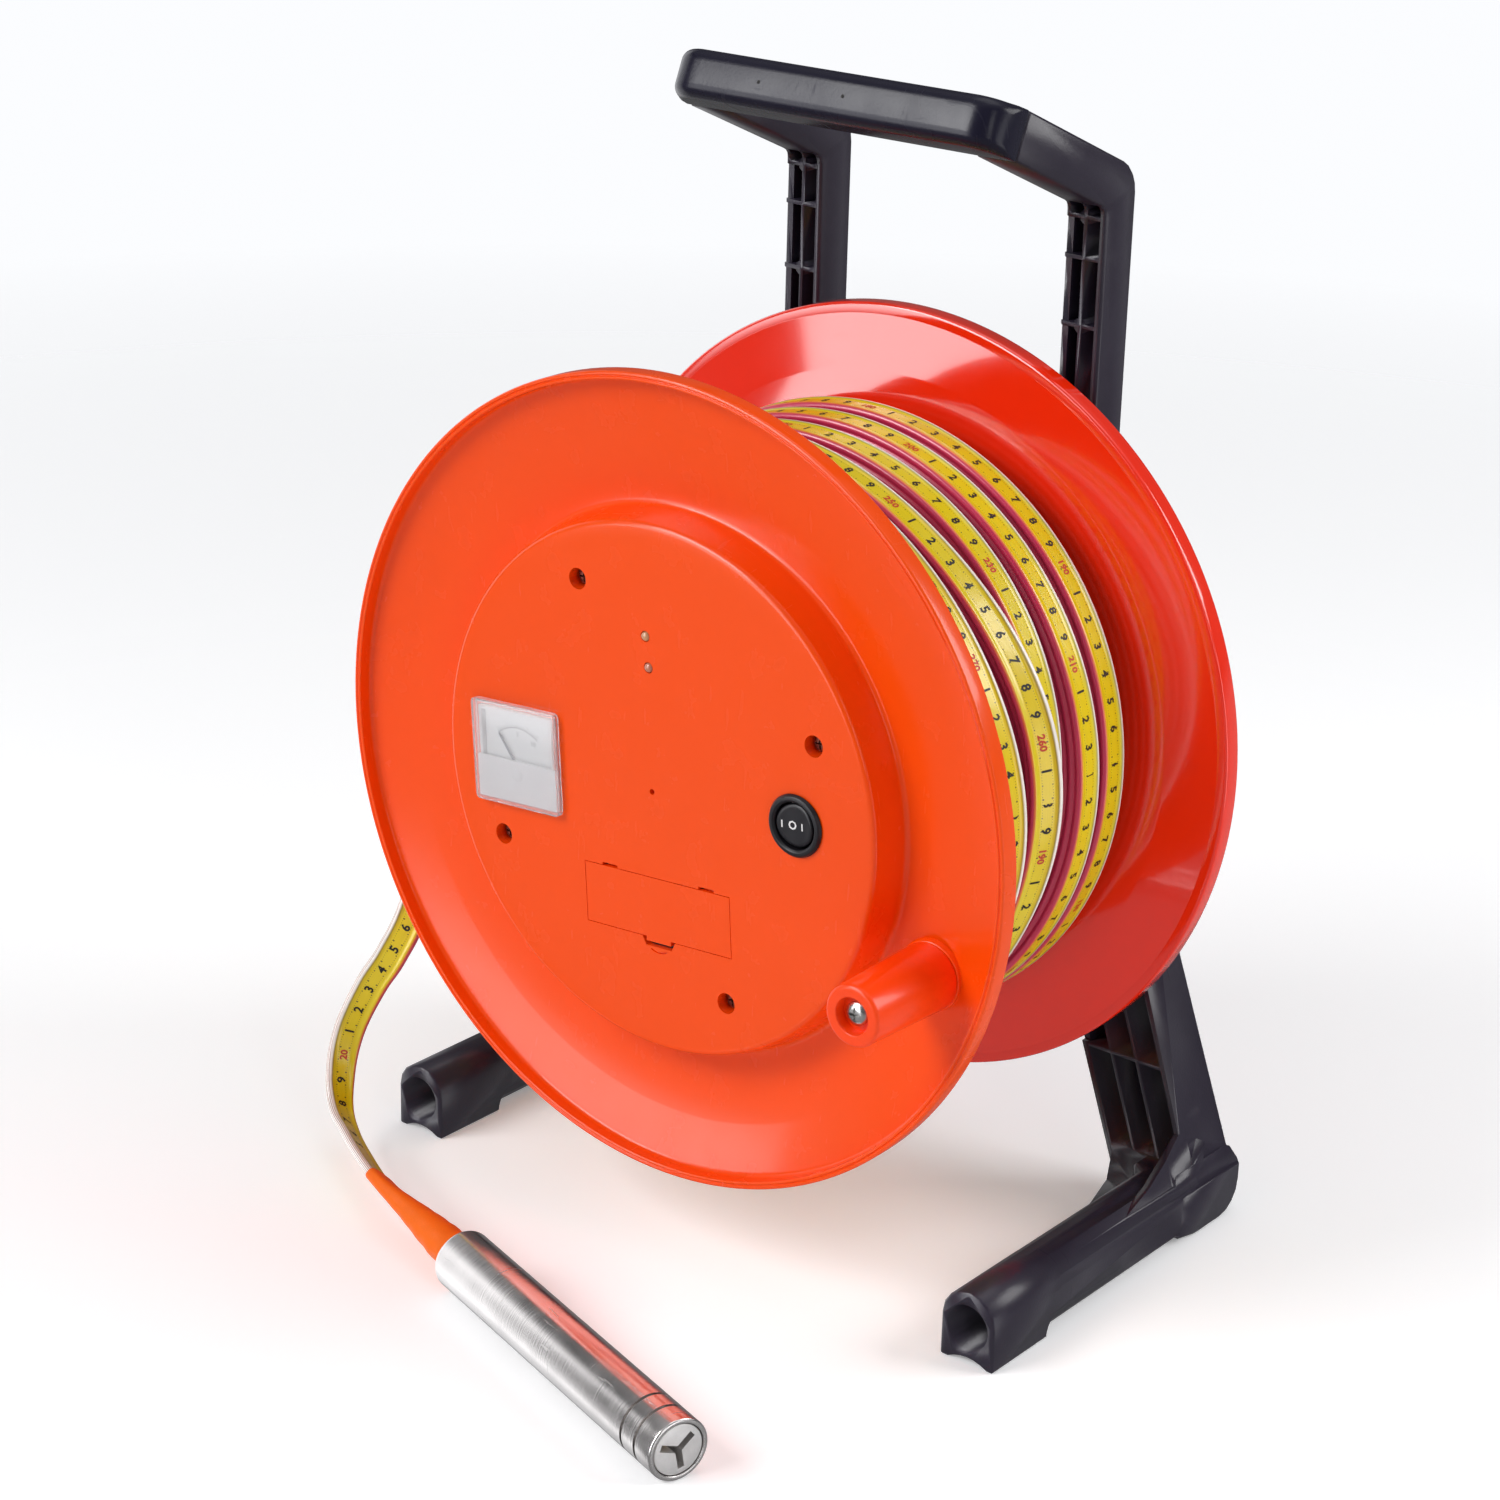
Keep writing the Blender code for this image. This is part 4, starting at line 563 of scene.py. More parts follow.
@cache
def grain_group() -> bpy.types.NodeTree:
    """Builds the group for a moulded or worked skin: fine grain, slow waves and a drifting roughness.

    Returns:
        The group.
    """
    tree, hand, given, out = shader_group(
        "grain",
        {
            "Place": ("Vector", (0, 0, 0)),
            "Scale": ("Float", 900.0),
            "Waves": ("Float", 30.0),
            "Roughness": ("Float", 0.3),
            "Spread": ("Float", 0.1),
        },
        {"Height": "Float", "Roughness": "Float"},
    )
    grain = hand.noise(given["Place"], given["Scale"], 2.0)
    waves = hand.noise(given["Place"], given["Waves"], 1.0)
    height = hand.math("MULTIPLY_ADD", waves, 4.0, grain)
    clouds = hand.noise(given["Place"], hand.math("MULTIPLY", given["Waves"], 3.0), 4.0)
    spread = hand.math("MULTIPLY", hand.math("SUBTRACT", clouds, 0.5), given["Spread"])
    rough = hand.math("MULTIPLY_ADD", spread, 2.0, given["Roughness"], clamp=True)
    hand.feed(out, Height=height, Roughness=rough)
    return tree


@cache
def scuff_group() -> bpy.types.NodeTree:
    """Builds the group for handling marks: thin stretched noise, cut to its crests, in two directions.

    Returns:
        The group.
    """
    tree, hand, given, out = shader_group(
        "scuffs",
        {"Place": ("Vector", (0, 0, 0)), "Scale": ("Float", 40.0), "Amount": ("Float", 0.1)},
        {"Mask": "Float"},
    )
    marks = []
    for angle, stretch in ((0.5, (1.0, 14.0, 1.0)), (-0.9, (9.0, 1.0, 1.6))):
        mapping = hand.node("ShaderNodeMapping")
        hand.feed(mapping, Vector=given["Place"], Rotation=(0.3, angle, angle), Scale=stretch)
        noise = hand.noise(mapping.outputs[0], given["Scale"], 6.0)
        marks.append(hand.remap(noise, 0.66, 0.74, 0.0, 1.0))
    hand.feed(out, Mask=hand.math("MULTIPLY", hand.math("MAXIMUM", *marks), given["Amount"]))
    return tree


class Place(Enum):
    """What a finish's pattern is fixed to."""

    OBJECT = "Object"
    UV = "UV"


@dataclass(frozen=True)
class Finish:
    """A surface of one colour, as moulded, rolled or turned.

    Attributes:
        name: the material's name.
        colour: linear base colour.
        roughness: middle roughness.
        spread: how far the roughness drifts.
        metallic: 1 for metal.
        coat: weight of the gloss on top.
        coat_roughness: roughness of that gloss.
        specular: level of the plain reflection.
        mottle: how far the colour drifts.
        mottle_scale: clouds to a metre.
        grain: height of the fine grain.
        grain_scale: grains to a metre.
        waves: slow waves to a metre.
        scuffs: strength of the handling marks.
        place: what the pattern is fixed to.
    """

    name: str
    colour: Colour
    roughness: float
    spread: float = 0.06
    metallic: float = 0.0
    coat: float = 0.0
    coat_roughness: float = 0.1
    specular: float = 0.5
    mottle: float = 0.03
    mottle_scale: float = 14.0
    grain: float = 0.01 * MM
    grain_scale: float = 1400.0
    waves: float = 25.0
    scuffs: float = 0.05
    place: Place = Place.OBJECT

    def base(self, hand: Sockets, where: bpy.types.NodeSocket) -> object:
        """Gives the base colour, before it drifts. A finish with a pattern draws it here."""
        return (*self.colour, 1.0)

    def relief(
        self, hand: Sockets, where: bpy.types.NodeSocket, height: bpy.types.NodeSocket
    ) -> bpy.types.NodeSocket:
        """Gives the height of the surface. A finish with a pattern adds to it here."""
        return height

    def material(self) -> bpy.types.Material:
        """Builds the material once, and gives the same one after that.

        Its name ends with finish, because the record's slots may have a material of the plain name.

        Returns:
            The material.
        """
        name = f"{self.name}_finish"
        made = bpy.data.materials.get(name)
        if made:
            return made
        made = bpy.data.materials.new(name)
        made.use_nodes = True
        hand = Sockets(made.node_tree)
        where = hand.node("ShaderNodeTexCoord").outputs[self.place.value]
        mottle = hand.node("ShaderNodeGroup", node_tree=mottle_group())
        hand.feed(
            mottle, Place=where, Color=self.base(hand, where), Scale=self.mottle_scale, Amount=self.mottle
        )
        grain = hand.node("ShaderNodeGroup", node_tree=grain_group())
        hand.feed(grain, Place=where, Scale=self.grain_scale, Waves=self.waves)
        hand.feed(grain, Roughness=self.roughness, Spread=self.spread)
        scuff = hand.node("ShaderNodeGroup", node_tree=scuff_group())
        hand.feed(scuff, Place=where, Amount=self.scuffs)
        rough = hand.math("ADD", grain.outputs["Roughness"], scuff.outputs["Mask"], clamp=True)
        bump = hand.feed(hand.node("ShaderNodeBump"), Strength=1.0, Distance=self.grain)
        hand.feed(bump, Height=self.relief(hand, where, grain.outputs["Height"]))
        shader = hand.node("ShaderNodeBsdfPrincipled")
        hand.feed(shader, Base_Color=mottle.outputs["Color"], Roughness=rough, Metallic=self.metallic)
        hand.feed(shader, Normal=bump.outputs[0], Coat_Weight=self.coat, Coat_Roughness=self.coat_roughness)
        hand.feed(shader, Specular_IOR_Level=self.specular)
        self.tune(shader)
        hand.feed(hand.node("ShaderNodeOutputMaterial"), Surface=shader.outputs[0])
        return made

    def tune(self, shader: bpy.types.Node) -> None:
        """Sets the shader's own values that only some finishes have."""


@dataclass(frozen=True)
class TurnedSteel(Finish):
    """Steel with the fine rings of a lathe round its axis, which runs along the pattern's v.

    Attributes:
        rings: tool rings to a metre.
    """

    rings: float = 1500.0

    def relief(
        self, hand: Sockets, where: bpy.types.NodeSocket, height: bpy.types.NodeSocket
    ) -> bpy.types.NodeSocket:
        """Adds noise that is stretched round the bar, so that it reads as tool rings.

        Args:
            hand: the hand for the material's nodes.
            where: the pattern's coordinates.
            height: height of the plain surface.

        Returns:
            The height with the rings.
        """
        mapping = hand.feed(hand.node("ShaderNodeMapping"), Vector=where, Scale=(0.02, 1.0, 1.0))
        rings = hand.noise(mapping.outputs[0], self.rings, 3.0)
        return hand.math("MULTIPLY_ADD", rings, 2.5, height)


@dataclass(frozen=True)
class ClearPlastic(Finish):
    """Clear moulded plastic."""

    def tune(self, shader: bpy.types.Node) -> None:
        """Lets the light through."""
        shader.inputs["Transmission Weight"].default_value = 0.82
        shader.inputs["IOR"].default_value = 1.46


@dataclass(frozen=True)
class TapeFinish(Finish):
    """The printed tape and its stacked edges.

    The pattern's u is the length along the tape in metres. Its v says which band of the section a point is
    on: the front edges to 0.30, the front bead to 0.38, the printed web to 0.70, the rear bead to 0.80 and
    the rear edges up to 1.

    Attributes:
        front_edge: colour of the stacked front edges.
        bead: colour of the front bead's top.
        rear_bead: colour of the rear bead.
        rear_edge: colour of the stacked rear edges.
    """

    front_edge: Colour = (0.58, 0.028, 0.095)
    bead: Colour = (0.80, 0.20, 0.03)
    rear_bead: Colour = (0.95, 0.93, 0.88)
    rear_edge: Colour = (0.50, 0.30, 0.26)

    def base(self, hand: Sockets, where: bpy.types.NodeSocket) -> object:
        """Draws the bands across the tape, and the scale's short strokes along both sides of the web.

        A stroke is where the length lies within half its thickness of a whole number of spacings, and the
        band lies within its reach of the web's edge.

        Args:
            hand: the hand for the material's nodes.
            where: the pattern's coordinates.

        Returns:
            The colour.
        """
        split = hand.feed(hand.node("ShaderNodeSeparateXYZ"), Vector=where)
        along, band = split.outputs[0], split.outputs[1]
        ramp = hand.feed(hand.node("ShaderNodeValToRGB"), Fac=band)
        ramp.color_ramp.interpolation = "LINEAR"
        stops = [
            (0.330, self.front_edge),
            (0.343, self.bead),
            (0.347, self.bead),
            (0.354, self.colour),
            (0.706, self.colour),
            # A darker copy of the web's yellow on the rear bead's inner flank: painted shade where the bead
            # rises from the web.
            (0.716, tuple(0.45 * c for c in self.colour)),
            (0.728, self.rear_bead),
            (0.790, self.rear_bead),
            (0.810, self.rear_edge),
        ]
        elements = ramp.color_ramp.elements
        elements.remove(elements[1])
        elements[0].position, elements[0].color = stops[0][0], (*stops[0][1], 1.0)
        for position, colour in stops[1:]:
            elements.new(position).color = (*colour, 1.0)
        strokes = []
        low, high = WEB_BAND
        scale = ((0.01, 0.0006, 0.24), (0.005, 0.0005, 0.17), (0.001, 0.00028, 0.10))
        for spacing, thickness, reach in scale:
            phase = hand.math("PINGPONG", along, spacing / 2)
            line = hand.math("LESS_THAN", phase, thickness / 2)
            inset = hand.math("PINGPONG", hand.math("SUBTRACT", band, low), (high - low) / 2)
            near = hand.math("LESS_THAN", inset, reach * (high - low) * 0.8)
            inside = hand.math("GREATER_THAN", inset, (high - low) * 0.03)
            strokes.append(hand.math("MULTIPLY", line, hand.math("MULTIPLY", near, inside)))
        ink = hand.math("MAXIMUM", strokes[0], hand.math("MAXIMUM", strokes[1], strokes[2]))
        after, before = hand.math("GREATER_THAN", band, low), hand.math("LESS_THAN", band, high)
        ink = hand.product(ink, hand.product(after, before), 0.8)
        return hand.mix(ink, ramp.outputs[0], (0.03, 0.02, 0.01, 1.0))


ORANGE = Finish(
    "flange_orange",
    (0.96, 0.078, 0.001),
    0.26,
    coat=0.35,
    coat_roughness=0.10,
    specular=0.25,
    grain=0.02 * MM,
    grain_scale=700.0,
    mottle=0.02,
)
# The rear flange's orange is redder and darker than the front flange's: painted shade, as it stands behind
# the front flange. Its glossier coat is its own.
REAR_ORANGE_SHADED = Finish(
    "rear_flange_orange",
    (0.92, 0.024, 0.003),
    0.12,
    spread=0.03,
    specular=0.5,
    coat=1.0,
    coat_roughness=0.05,
    grain=0.008 * MM,
    grain_scale=600.0,
    mottle=0.02,
)
KNOB_ORANGE = Finish(
    "knob_orange",
    (1.0, 0.062, 0.002),
    0.34,
    specular=0.25,
    coat=0.3,
    coat_roughness=0.16,
    mottle=0.04,
    mottle_scale=40.0,
)
BLACK = Finish(
    "stand_black",
    (0.024, 0.019, 0.033),
    0.33,
    spread=0.1,
    coat=0.1,
    coat_roughness=0.2,
    specular=0.35,
    grain=0.04 * MM,
    grain_scale=1100.0,
    mottle=0.12,
    scuffs=0.12,
)
GRIP_BLACK = Finish(
    "grip_black",
    (0.011, 0.010, 0.022),
    0.26,
    spread=0.12,
    coat=0.06,
    coat_roughness=0.14,
    specular=0.2,
    grain=0.03 * MM,
    grain_scale=900.0,
    mottle=0.12,
    scuffs=0.2,
)
SWITCH_BLACK = Finish(
    "switch_black",
    (0.010, 0.009, 0.012),
    0.36,
    specular=0.35,
    grain=0.03 * MM,
    grain_scale=2500.0,
    mottle=0.1,
)
DRUM_GREY = Finish("drum_grey", (0.10, 0.09, 0.09), 0.6, mottle=0.1)
# The front cover screws' steel is darkened and reddened: painted shade of their recesses and painted
# reflection of the orange cups round them.
SCREW_SHADE_AND_REFLECTION = Finish("screw_dark", (0.20, 0.07, 0.05), 0.38, metallic=0.7, mottle=0.2, mottle_scale=300.0)
STEEL = Finish("steel", (0.60, 0.59, 0.58), 0.26, metallic=1.0, mottle=0.05, mottle_scale=120.0, scuffs=0.12)
PROBE_STEEL = TurnedSteel(
    "probe_steel",
    (0.66, 0.63, 0.62),
    0.21,
    spread=0.12,
    metallic=1.0,
    mottle=0.08,
    mottle_scale=60.0,
    grain=0.015 * MM,
    scuffs=0.2,
    place=Place.UV,
)
PLUG_STEEL = Finish(
    "plug_steel", (0.78, 0.76, 0.75), 0.48, metallic=0.8, mottle=0.12, mottle_scale=220.0, scuffs=0.3
)
BRONZE = Finish("bush_bronze", (0.50, 0.33, 0.15), 0.38, metallic=1.0, mottle=0.1)
CLEAR = ClearPlastic(
    "meter_clear", (0.97, 0.97, 0.98), 0.05, spread=0.02, grain=0.004 * MM, mottle=0.0, scuffs=0.02
)
METER_WHITE = Finish("meter_white", (0.80, 0.78, 0.78), 0.4, mottle=0.03, mottle_scale=80.0)
FROSTED = Finish(
    "meter_frosted",
    (0.82, 0.80, 0.81),
    0.45,
    coat=0.4,
    mottle=0.04,
    mottle_scale=120.0,
    grain=0.05 * MM,
    grain_scale=3000.0,
)
DIAL_PAPER = Finish("dial_paper", (0.86, 0.86, 0.86), 0.6, mottle=0.01)
INK = Finish("printing_ink", (0.012, 0.010, 0.008), 0.5, mottle=0.2, mottle_scale=300.0)
RED_INK = Finish("red_ink", (0.55, 0.05, 0.015), 0.5, mottle=0.2, mottle_scale=300.0)
GREY_INK = Finish("grey_ink", (0.22, 0.21, 0.24), 0.5, mottle=0.2, mottle_scale=300.0)
WHITE_INK = Finish("white_ink", (0.78, 0.78, 0.78), 0.5, mottle=0.05, mottle_scale=300.0)
TAPE = TapeFinish(
    "printed_tape",
    (0.77, 0.61, 0.004),
    0.3,
    coat=0.5,
    coat_roughness=0.16,
    mottle=0.06,
    mottle_scale=30.0,
    place=Place.UV,
)
# The turns under the lanes are near-black brown instead of the tape's own colours: painted shade of the deep
# gaps between the lanes.
INNER_TAPE_PAINTED_SHADE = Finish("inner_turns", (0.085, 0.045, 0.03), 0.5, mottle=0.25, mottle_scale=60.0)
SLEEVE = Finish(
    "sleeve_orange",
    (0.90, 0.145, 0.004),
    0.5,
    specular=0.2,
    mottle=0.08,
    mottle_scale=90.0,
    grain=0.12 * MM,
    grain_scale=900.0,
)
INSULATOR = Finish("insulator_white", (0.80, 0.80, 0.78), 0.4)
BOARD = Finish("board_green", (0.02, 0.16, 0.06), 0.45, mottle=0.2, mottle_scale=200.0)
BATTERY = Finish("battery_jacket", (0.09, 0.10, 0.14), 0.35, mottle=0.08)
LENS_AMBER = Finish("lamp_amber", (0.60, 0.30, 0.14), 0.2, coat=0.6, mottle=0.1, mottle_scale=400.0)
LENS_RED = Finish("lamp_red", (0.55, 0.20, 0.12), 0.2, coat=0.6, mottle=0.1, mottle_scale=400.0)
# Near-black matte for flat discs laid where dents are: painted shade of the dents.
DENT_SHADE_BLACK = Finish("hollow_black", (0.008, 0.007, 0.007), 0.8)


def dress(piece: bpy.types.Object, finish: Finish, body: str) -> bpy.types.Object:
    """Gives a new piece its finish and the body that it rides on.

    Args:
        piece: the new piece.
        finish: its finish.
        body: the CAD body that it moves with.

    Returns:
        The piece.
    """
    piece.data.materials.clear()
    piece.data.materials.append(finish.material())
    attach(piece, body)
    LOG.info("%s: %d faces, %s", piece.name, len(piece.data.polygons), finish.name)
    return piece


def dress_node(frame: dict, finish: Finish, *nodes: str) -> None:
    """Gives CAD nodes a finish.

    Args:
        frame: the loaded frame.
        finish: the finish.
        nodes: the nodes' names.
    """
    for node in nodes:
        for holder in frame["nodes"][node].material_slots:
            holder.material = finish.material()


# Printing


@cache
def glyph(text: str, size: float, weight: float = 0.0) -> tuple[Array, tuple[tuple[int, ...], ...]]:
    """Gives a flat mesh of a few plain numbers or signs, centred on the origin.

    Args:
        text: what it says.
        size: height of the type.
        weight: how much the strokes are thickened.

    Returns:
        (n, 2) points and the faces over them.
    """
    curve = bpy.data.curves.new("type", "FONT")
    curve.body = text
    curve.size = size
    curve.offset = weight
    curve.resolution_u = 2
    curve.align_x = "CENTER"
    curve.align_y = "CENTER"
    holder = put("type", curve)
    depsgraph = bpy.context.evaluated_depsgraph_get()
    mesh = bpy.data.meshes.new_from_object(holder.evaluated_get(depsgraph))
    bpy.data.objects.remove(holder)
    points = np.empty(len(mesh.vertices) * 3)
    mesh.vertices.foreach_get("co", points)
    points = points.reshape(-1, 3)[:, :2]
    faces = tuple(tuple(face.vertices) for face in mesh.polygons)
    bpy.data.meshes.remove(mesh)
    return points - (points.min(axis=0) + points.max(axis=0)) / 2, faces


# Tape


@dataclass
class TapeRun:
    """A stretch of tape: its middle line on the printed face, its width's direction and its face's normal.

    Attributes:
        along: (n,) lengths from the start.
        centre: (n, 3) places of the middle line.
        across: (n, 3) directions from the front edge to the rear edge.
        outward: (n, 3) normals of the printed face.
    """

    along: Array
    centre: Array
    across: Array
    outward: Array

    def carry(self, length: Array, width: Array, height: Array) -> Array:
        """Gives centre + width x across + height x outward, each read at the length between its points.

        Args:
            length: how far along the run.
            width: how far from the middle, towards the rear edge.
            height: how far above the printed face.

        Returns:
            World places.
        """
        length, width, height = np.broadcast_arrays(length, width, height)

        def read(values: Array) -> Array:
            """Reads directions or places at the wanted lengths."""
            return np.stack([np.interp(length, self.along, values[:, k]) for k in range(3)], axis=-1)

        beside = read(self.across) * width[..., None]
        above = read(self.outward) * height[..., None]
        return read(self.centre) + beside + above

    def sweep(self, name: str, section: Array, bands: Array, closed: bool, steps: int) -> bpy.types.Object:
        """Carries a section along the run.

        Args:
            name: the object's name.
            section: (m, 2) widths and heights round the section.
            bands: (m,) pattern value of each point.
            closed: whether the run's end meets its start.
            steps: places along the run.

        Returns:
            The new object.
        """
        length = np.linspace(0, self.along[-1], steps + 1 if closed else steps)
        stations = length[:-1] if closed else length
        grid = self.carry(stations[:, None], section[None, :, 0], section[None, :, 1])
        bands = np.append(bands, bands[-1] + 1e-3)
        uv = np.stack(np.broadcast_arrays(length[:, None], bands[None, :]), axis=-1)
        return lay(name, grid, uv, wrap_rows=closed, wrap_columns=True, capped=not closed, sharp=70.0)


@dataclass(frozen=True)
class TapeSize:
    """The tape's section: a thin printed web between two round beads that hold the wires.

    Attributes:
        width: over the beads.
        bead: radius of a bead.
        web_drop: how far the printed face lies below the beads' tops.
    """

    width: float = 12.6 * MM
    bead: float = 1.6 * MM
    web_drop: float = 0.5 * MM

    def section(self, layers: int, under: float) -> tuple[Array, Array]:
        """Draws a stack of turns: edge beads down both sides, and the top turn's web between its beads.

        A bead is bead x (1 - cos a, sin a) for a from -60 to 60 degrees, one pitch below the other. The top
        bead's arc runs on to the web.

        Args:
            layers: turns in the stack.
            under: how far the stack's underside lies below its last turn.

        Returns:
            (m, 2) widths from the middle and heights above the web, and each point's pattern value.
        """
        pitch = 2 * self.bead
        rows = np.arange(layers - 1, 0, -1)
        arc = np.radians([-60, -30, 0, 30, 60])
        wall_width = np.tile(self.bead * (1 - np.cos(arc)), layers - 1)
        wall_height = (-pitch * rows[:, None] + self.bead * np.sin(arc)).ravel()
        crown = np.radians([-60, -35, -10, 15, 40, 65, 90, 115, 140])
        crown_width = self.bead * (1 - np.cos(crown))
        crown_height = self.bead * np.sin(crown)
        half_width = np.concatenate([wall_width, crown_width])
        half_height = np.concatenate([wall_height, crown_height]) + self.web_drop - self.bead
        wall_band = np.linspace(0.0, 0.29, len(wall_width)) if layers > 1 else np.empty(0)
        crown_band = np.array([0.292, 0.295, 0.298, 0.305, 0.325, 0.34, 0.355, 0.365, 0.379])
        half_band = np.concatenate([wall_band, crown_band])
        rear_wall, rear_crown = np.linspace(1.0, 0.81, len(wall_width)), np.linspace(0.80, 0.701, len(crown))
        rear_band = np.concatenate([rear_wall, rear_crown])
        web = np.linspace(half_width[-1], self.width - half_width[-1], 7)[1:-1]
        width = np.concatenate([half_width, web, self.width - half_width[::-1]]) - self.width / 2
        height = np.concatenate([half_height, np.zeros(len(web)), half_height[::-1]])
        low = half_height.min() - under
        foot = np.array([[self.width / 2 - self.bead, low], [self.bead - self.width / 2, low]])
        web_band = np.linspace(0.385, 0.695, len(web))
        bands = np.concatenate([half_band, web_band, rear_band[::-1], [1.0, 0.0]])
        return np.concatenate([np.stack([width, height], axis=-1), foot]), bands


@dataclass(frozen=True)
class Lane:
    """One lane of turns on the drum.

    Attributes:
        depth: how far the lane's middle lies behind the front rim.
        radius: radius of its printed face.
        layers: turns that show on its sides.
        sway: how far the lane wanders sideways.
        swell: how much its radius wanders.
        phase: where in the turn it wanders most, in degrees.
        first: number at the start of the lane.
        bulge: how far the lane stands out where it is slack.
        bulge_at: angle of the slack place, in degrees.
        lean: how far the slack place leans to the front, as a slope.
    """

    depth: float
    radius: float
    layers: int
    sway: float
    swell: float
    phase: float
    first: int
    bulge: float = 0.0
    bulge_at: float = 0.0
    lean: float = 0.0

    def run(self) -> TapeRun:
        """Lays the lane clockwise round the axle.

        The radius is R + swell sin(2 t + phase) + bulge exp(-(t - t0)^2 / 0.3), and the depth sways with
        sin(t + phase) and, less, with sin(3 t + 2 phase). Where the lane is slack it also slips to the rear.

        Returns:
            The lane's run.
        """
        t = np.linspace(0, -2 * pi, 361)
        phase = radians(self.phase)
        off = np.angle(np.exp(1j * (t - radians(self.bulge_at))))
        slack = np.exp(-(off**2) / 0.3)
        radius = self.radius + self.swell * np.sin(2 * t + phase) + self.bulge * slack
        depth = self.depth + self.sway * (np.sin(t + phase) + 0.3 * np.sin(3 * t + 2 * phase))
        depth = depth + 0.9 * self.bulge * slack
        centre = REEL.world(np.stack([radius * np.cos(t), radius * np.sin(t), -depth], axis=-1))
        out = REEL.world(np.stack([np.cos(t), np.sin(t), 0 * t], axis=-1)) - REEL.world(np.zeros(3))
        along = np.concatenate([[0], np.cumsum(np.linalg.norm(np.diff(centre, axis=0), axis=1))])
        slope = self.lean * slack[:, None]
        back = np.array([0.0, 1.0, 0.0])
        return TapeRun(along, centre, unit(back + out * slope), unit(out - back * slope))


@dataclass
class Printing:
    """The numbers on the tape: a figure at each centimetre, and a red decimetre number at each tenth.

    Attributes:
        spacing: length between figures.
        size: height of the type.
        lift: height of the ink above the web.
    """

    spacing: float = 10.0 * MM
    size: float = 5.0 * MM
    lift: float = 0.06 * MM

    def figures(self, run: TapeRun, first: int, decimetre: int, start: float, stop: float, step: int) -> dict:
        """Sets the figures along a run.

        Args:
            run: the stretch of tape.
            first: figure at the start, in centimetres past the decimetre.
            decimetre: number of the decimetre at the start.
            start: where the first figure stands.
            stop: where the run ends.
            step: 1 where numbers grow along the run, or -1.

        Returns:
            The stamps of each ink, by finish.
        """
        stamps: dict[Finish, list] = {INK: [], RED_INK: []}
        for number, place in enumerate(np.arange(start, stop, self.spacing)):
            count = first + step * number + 10 * decimetre
            figure = count % 10
            ink, text, size = (INK, str(figure), 1.0) if figure else (RED_INK, str(count), 0.8)
            points, faces = glyph(text, self.size * size, 0.16 * MM)
            spot = run.carry(place + step * points[:, 0], points[:, 1], np.full(len(points), self.lift))
            stamps[ink].append((spot, faces))
        return stamps


@dataclass
class WoundTape:
    """The turns of tape on the drum.

    Attributes:
        size: the tape's section.
        lanes: the lanes that show, from the rear.
        core_front: depth of the winding's front end.
        core_rear: depth of its rear end.
        core_radius: radius of the drum.
        inner_radius: radius of the turns under the lanes.
    """

    size: TapeSize = TapeSize()
    lanes: tuple[Lane, ...] = (
        Lane(112.6 * MM, 116.6 * MM, 5, 0.9 * MM, 0.5 * MM, 20, 4),
        Lane(96.4 * MM, 116.2 * MM, 5, 0.9 * MM, 0.6 * MM, 60, 1),
        Lane(80.2 * MM, 115.4 * MM, 5, 1.1 * MM, 0.7 * MM, 100, 6, -3.2 * MM, -14),
        Lane(60.0 * MM, 117.2 * MM, 5, 1.6 * MM, 0.6 * MM, 200, 8, 5.0 * MM, 6, 0.5),
        Lane(43.4 * MM, 116.4 * MM, 5, 1.0 * MM, 0.6 * MM, 10, 2, 3.6 * MM, -10, 0.3),
        Lane(26.0 * MM, 116.9 * MM, 5, 0.0, 0.0, 330, 5),
    )
    core_front: float = 18.2 * MM
    core_rear: float = 128.8 * MM
    core_radius: float = 90.3 * MM
    inner_radius: float = 103.5 * MM

    def inner(self) -> bpy.types.Object:
        """Lays the turns under the lanes: a ring whose outside ripples with |sin|^0.6, one bead to each edge.

        Returns:
            The ring.
        """
        depth = np.linspace(self.core_front, self.core_rear, 141)
        ripple = np.abs(np.sin(depth / (3.2 * MM) * pi)) ** 0.6
        outside = np.stack([self.inner_radius + 1.0 * MM * ripple, -depth], axis=-1)
        inside = np.array([[self.core_radius, -self.core_rear], [self.core_radius, -self.core_front]])
        return turn("tape_inner_turns", np.concatenate([outside, inside]), REEL, sides=120, ring=True)

    def build(self) -> None:
        """Builds the lanes, the turns under them and the printing."""
        # The turns under the lanes carry painted shade: near-black brown for the gaps between the lanes.
        inner = dress(self.inner(), INNER_TAPE_PAINTED_SHADE, "reel")
        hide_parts("wound_tape")
        stamps: dict[Finish, list] = {INK: [], RED_INK: []}
        printing = Printing()
        for number, lane in enumerate(self.lanes, start=1):
            run = lane.run()
            section, bands = self.size.section(lane.layers, 0.5 * MM)
            piece = run.sweep(f"tape_lane_{number}", section, bands, closed=True, steps=220)
            dress(piece, TAPE, "reel")
            figures = printing.figures(run, lane.first, 10 + 2 * number, 0.0, run.along[-1] - 8 * MM, 1)
            for ink, found in figures.items():
                stamps[ink] += found
        for ink, found in stamps.items():
            dress(gather(f"tape_figures_{ink.name}", found), ink, "reel")


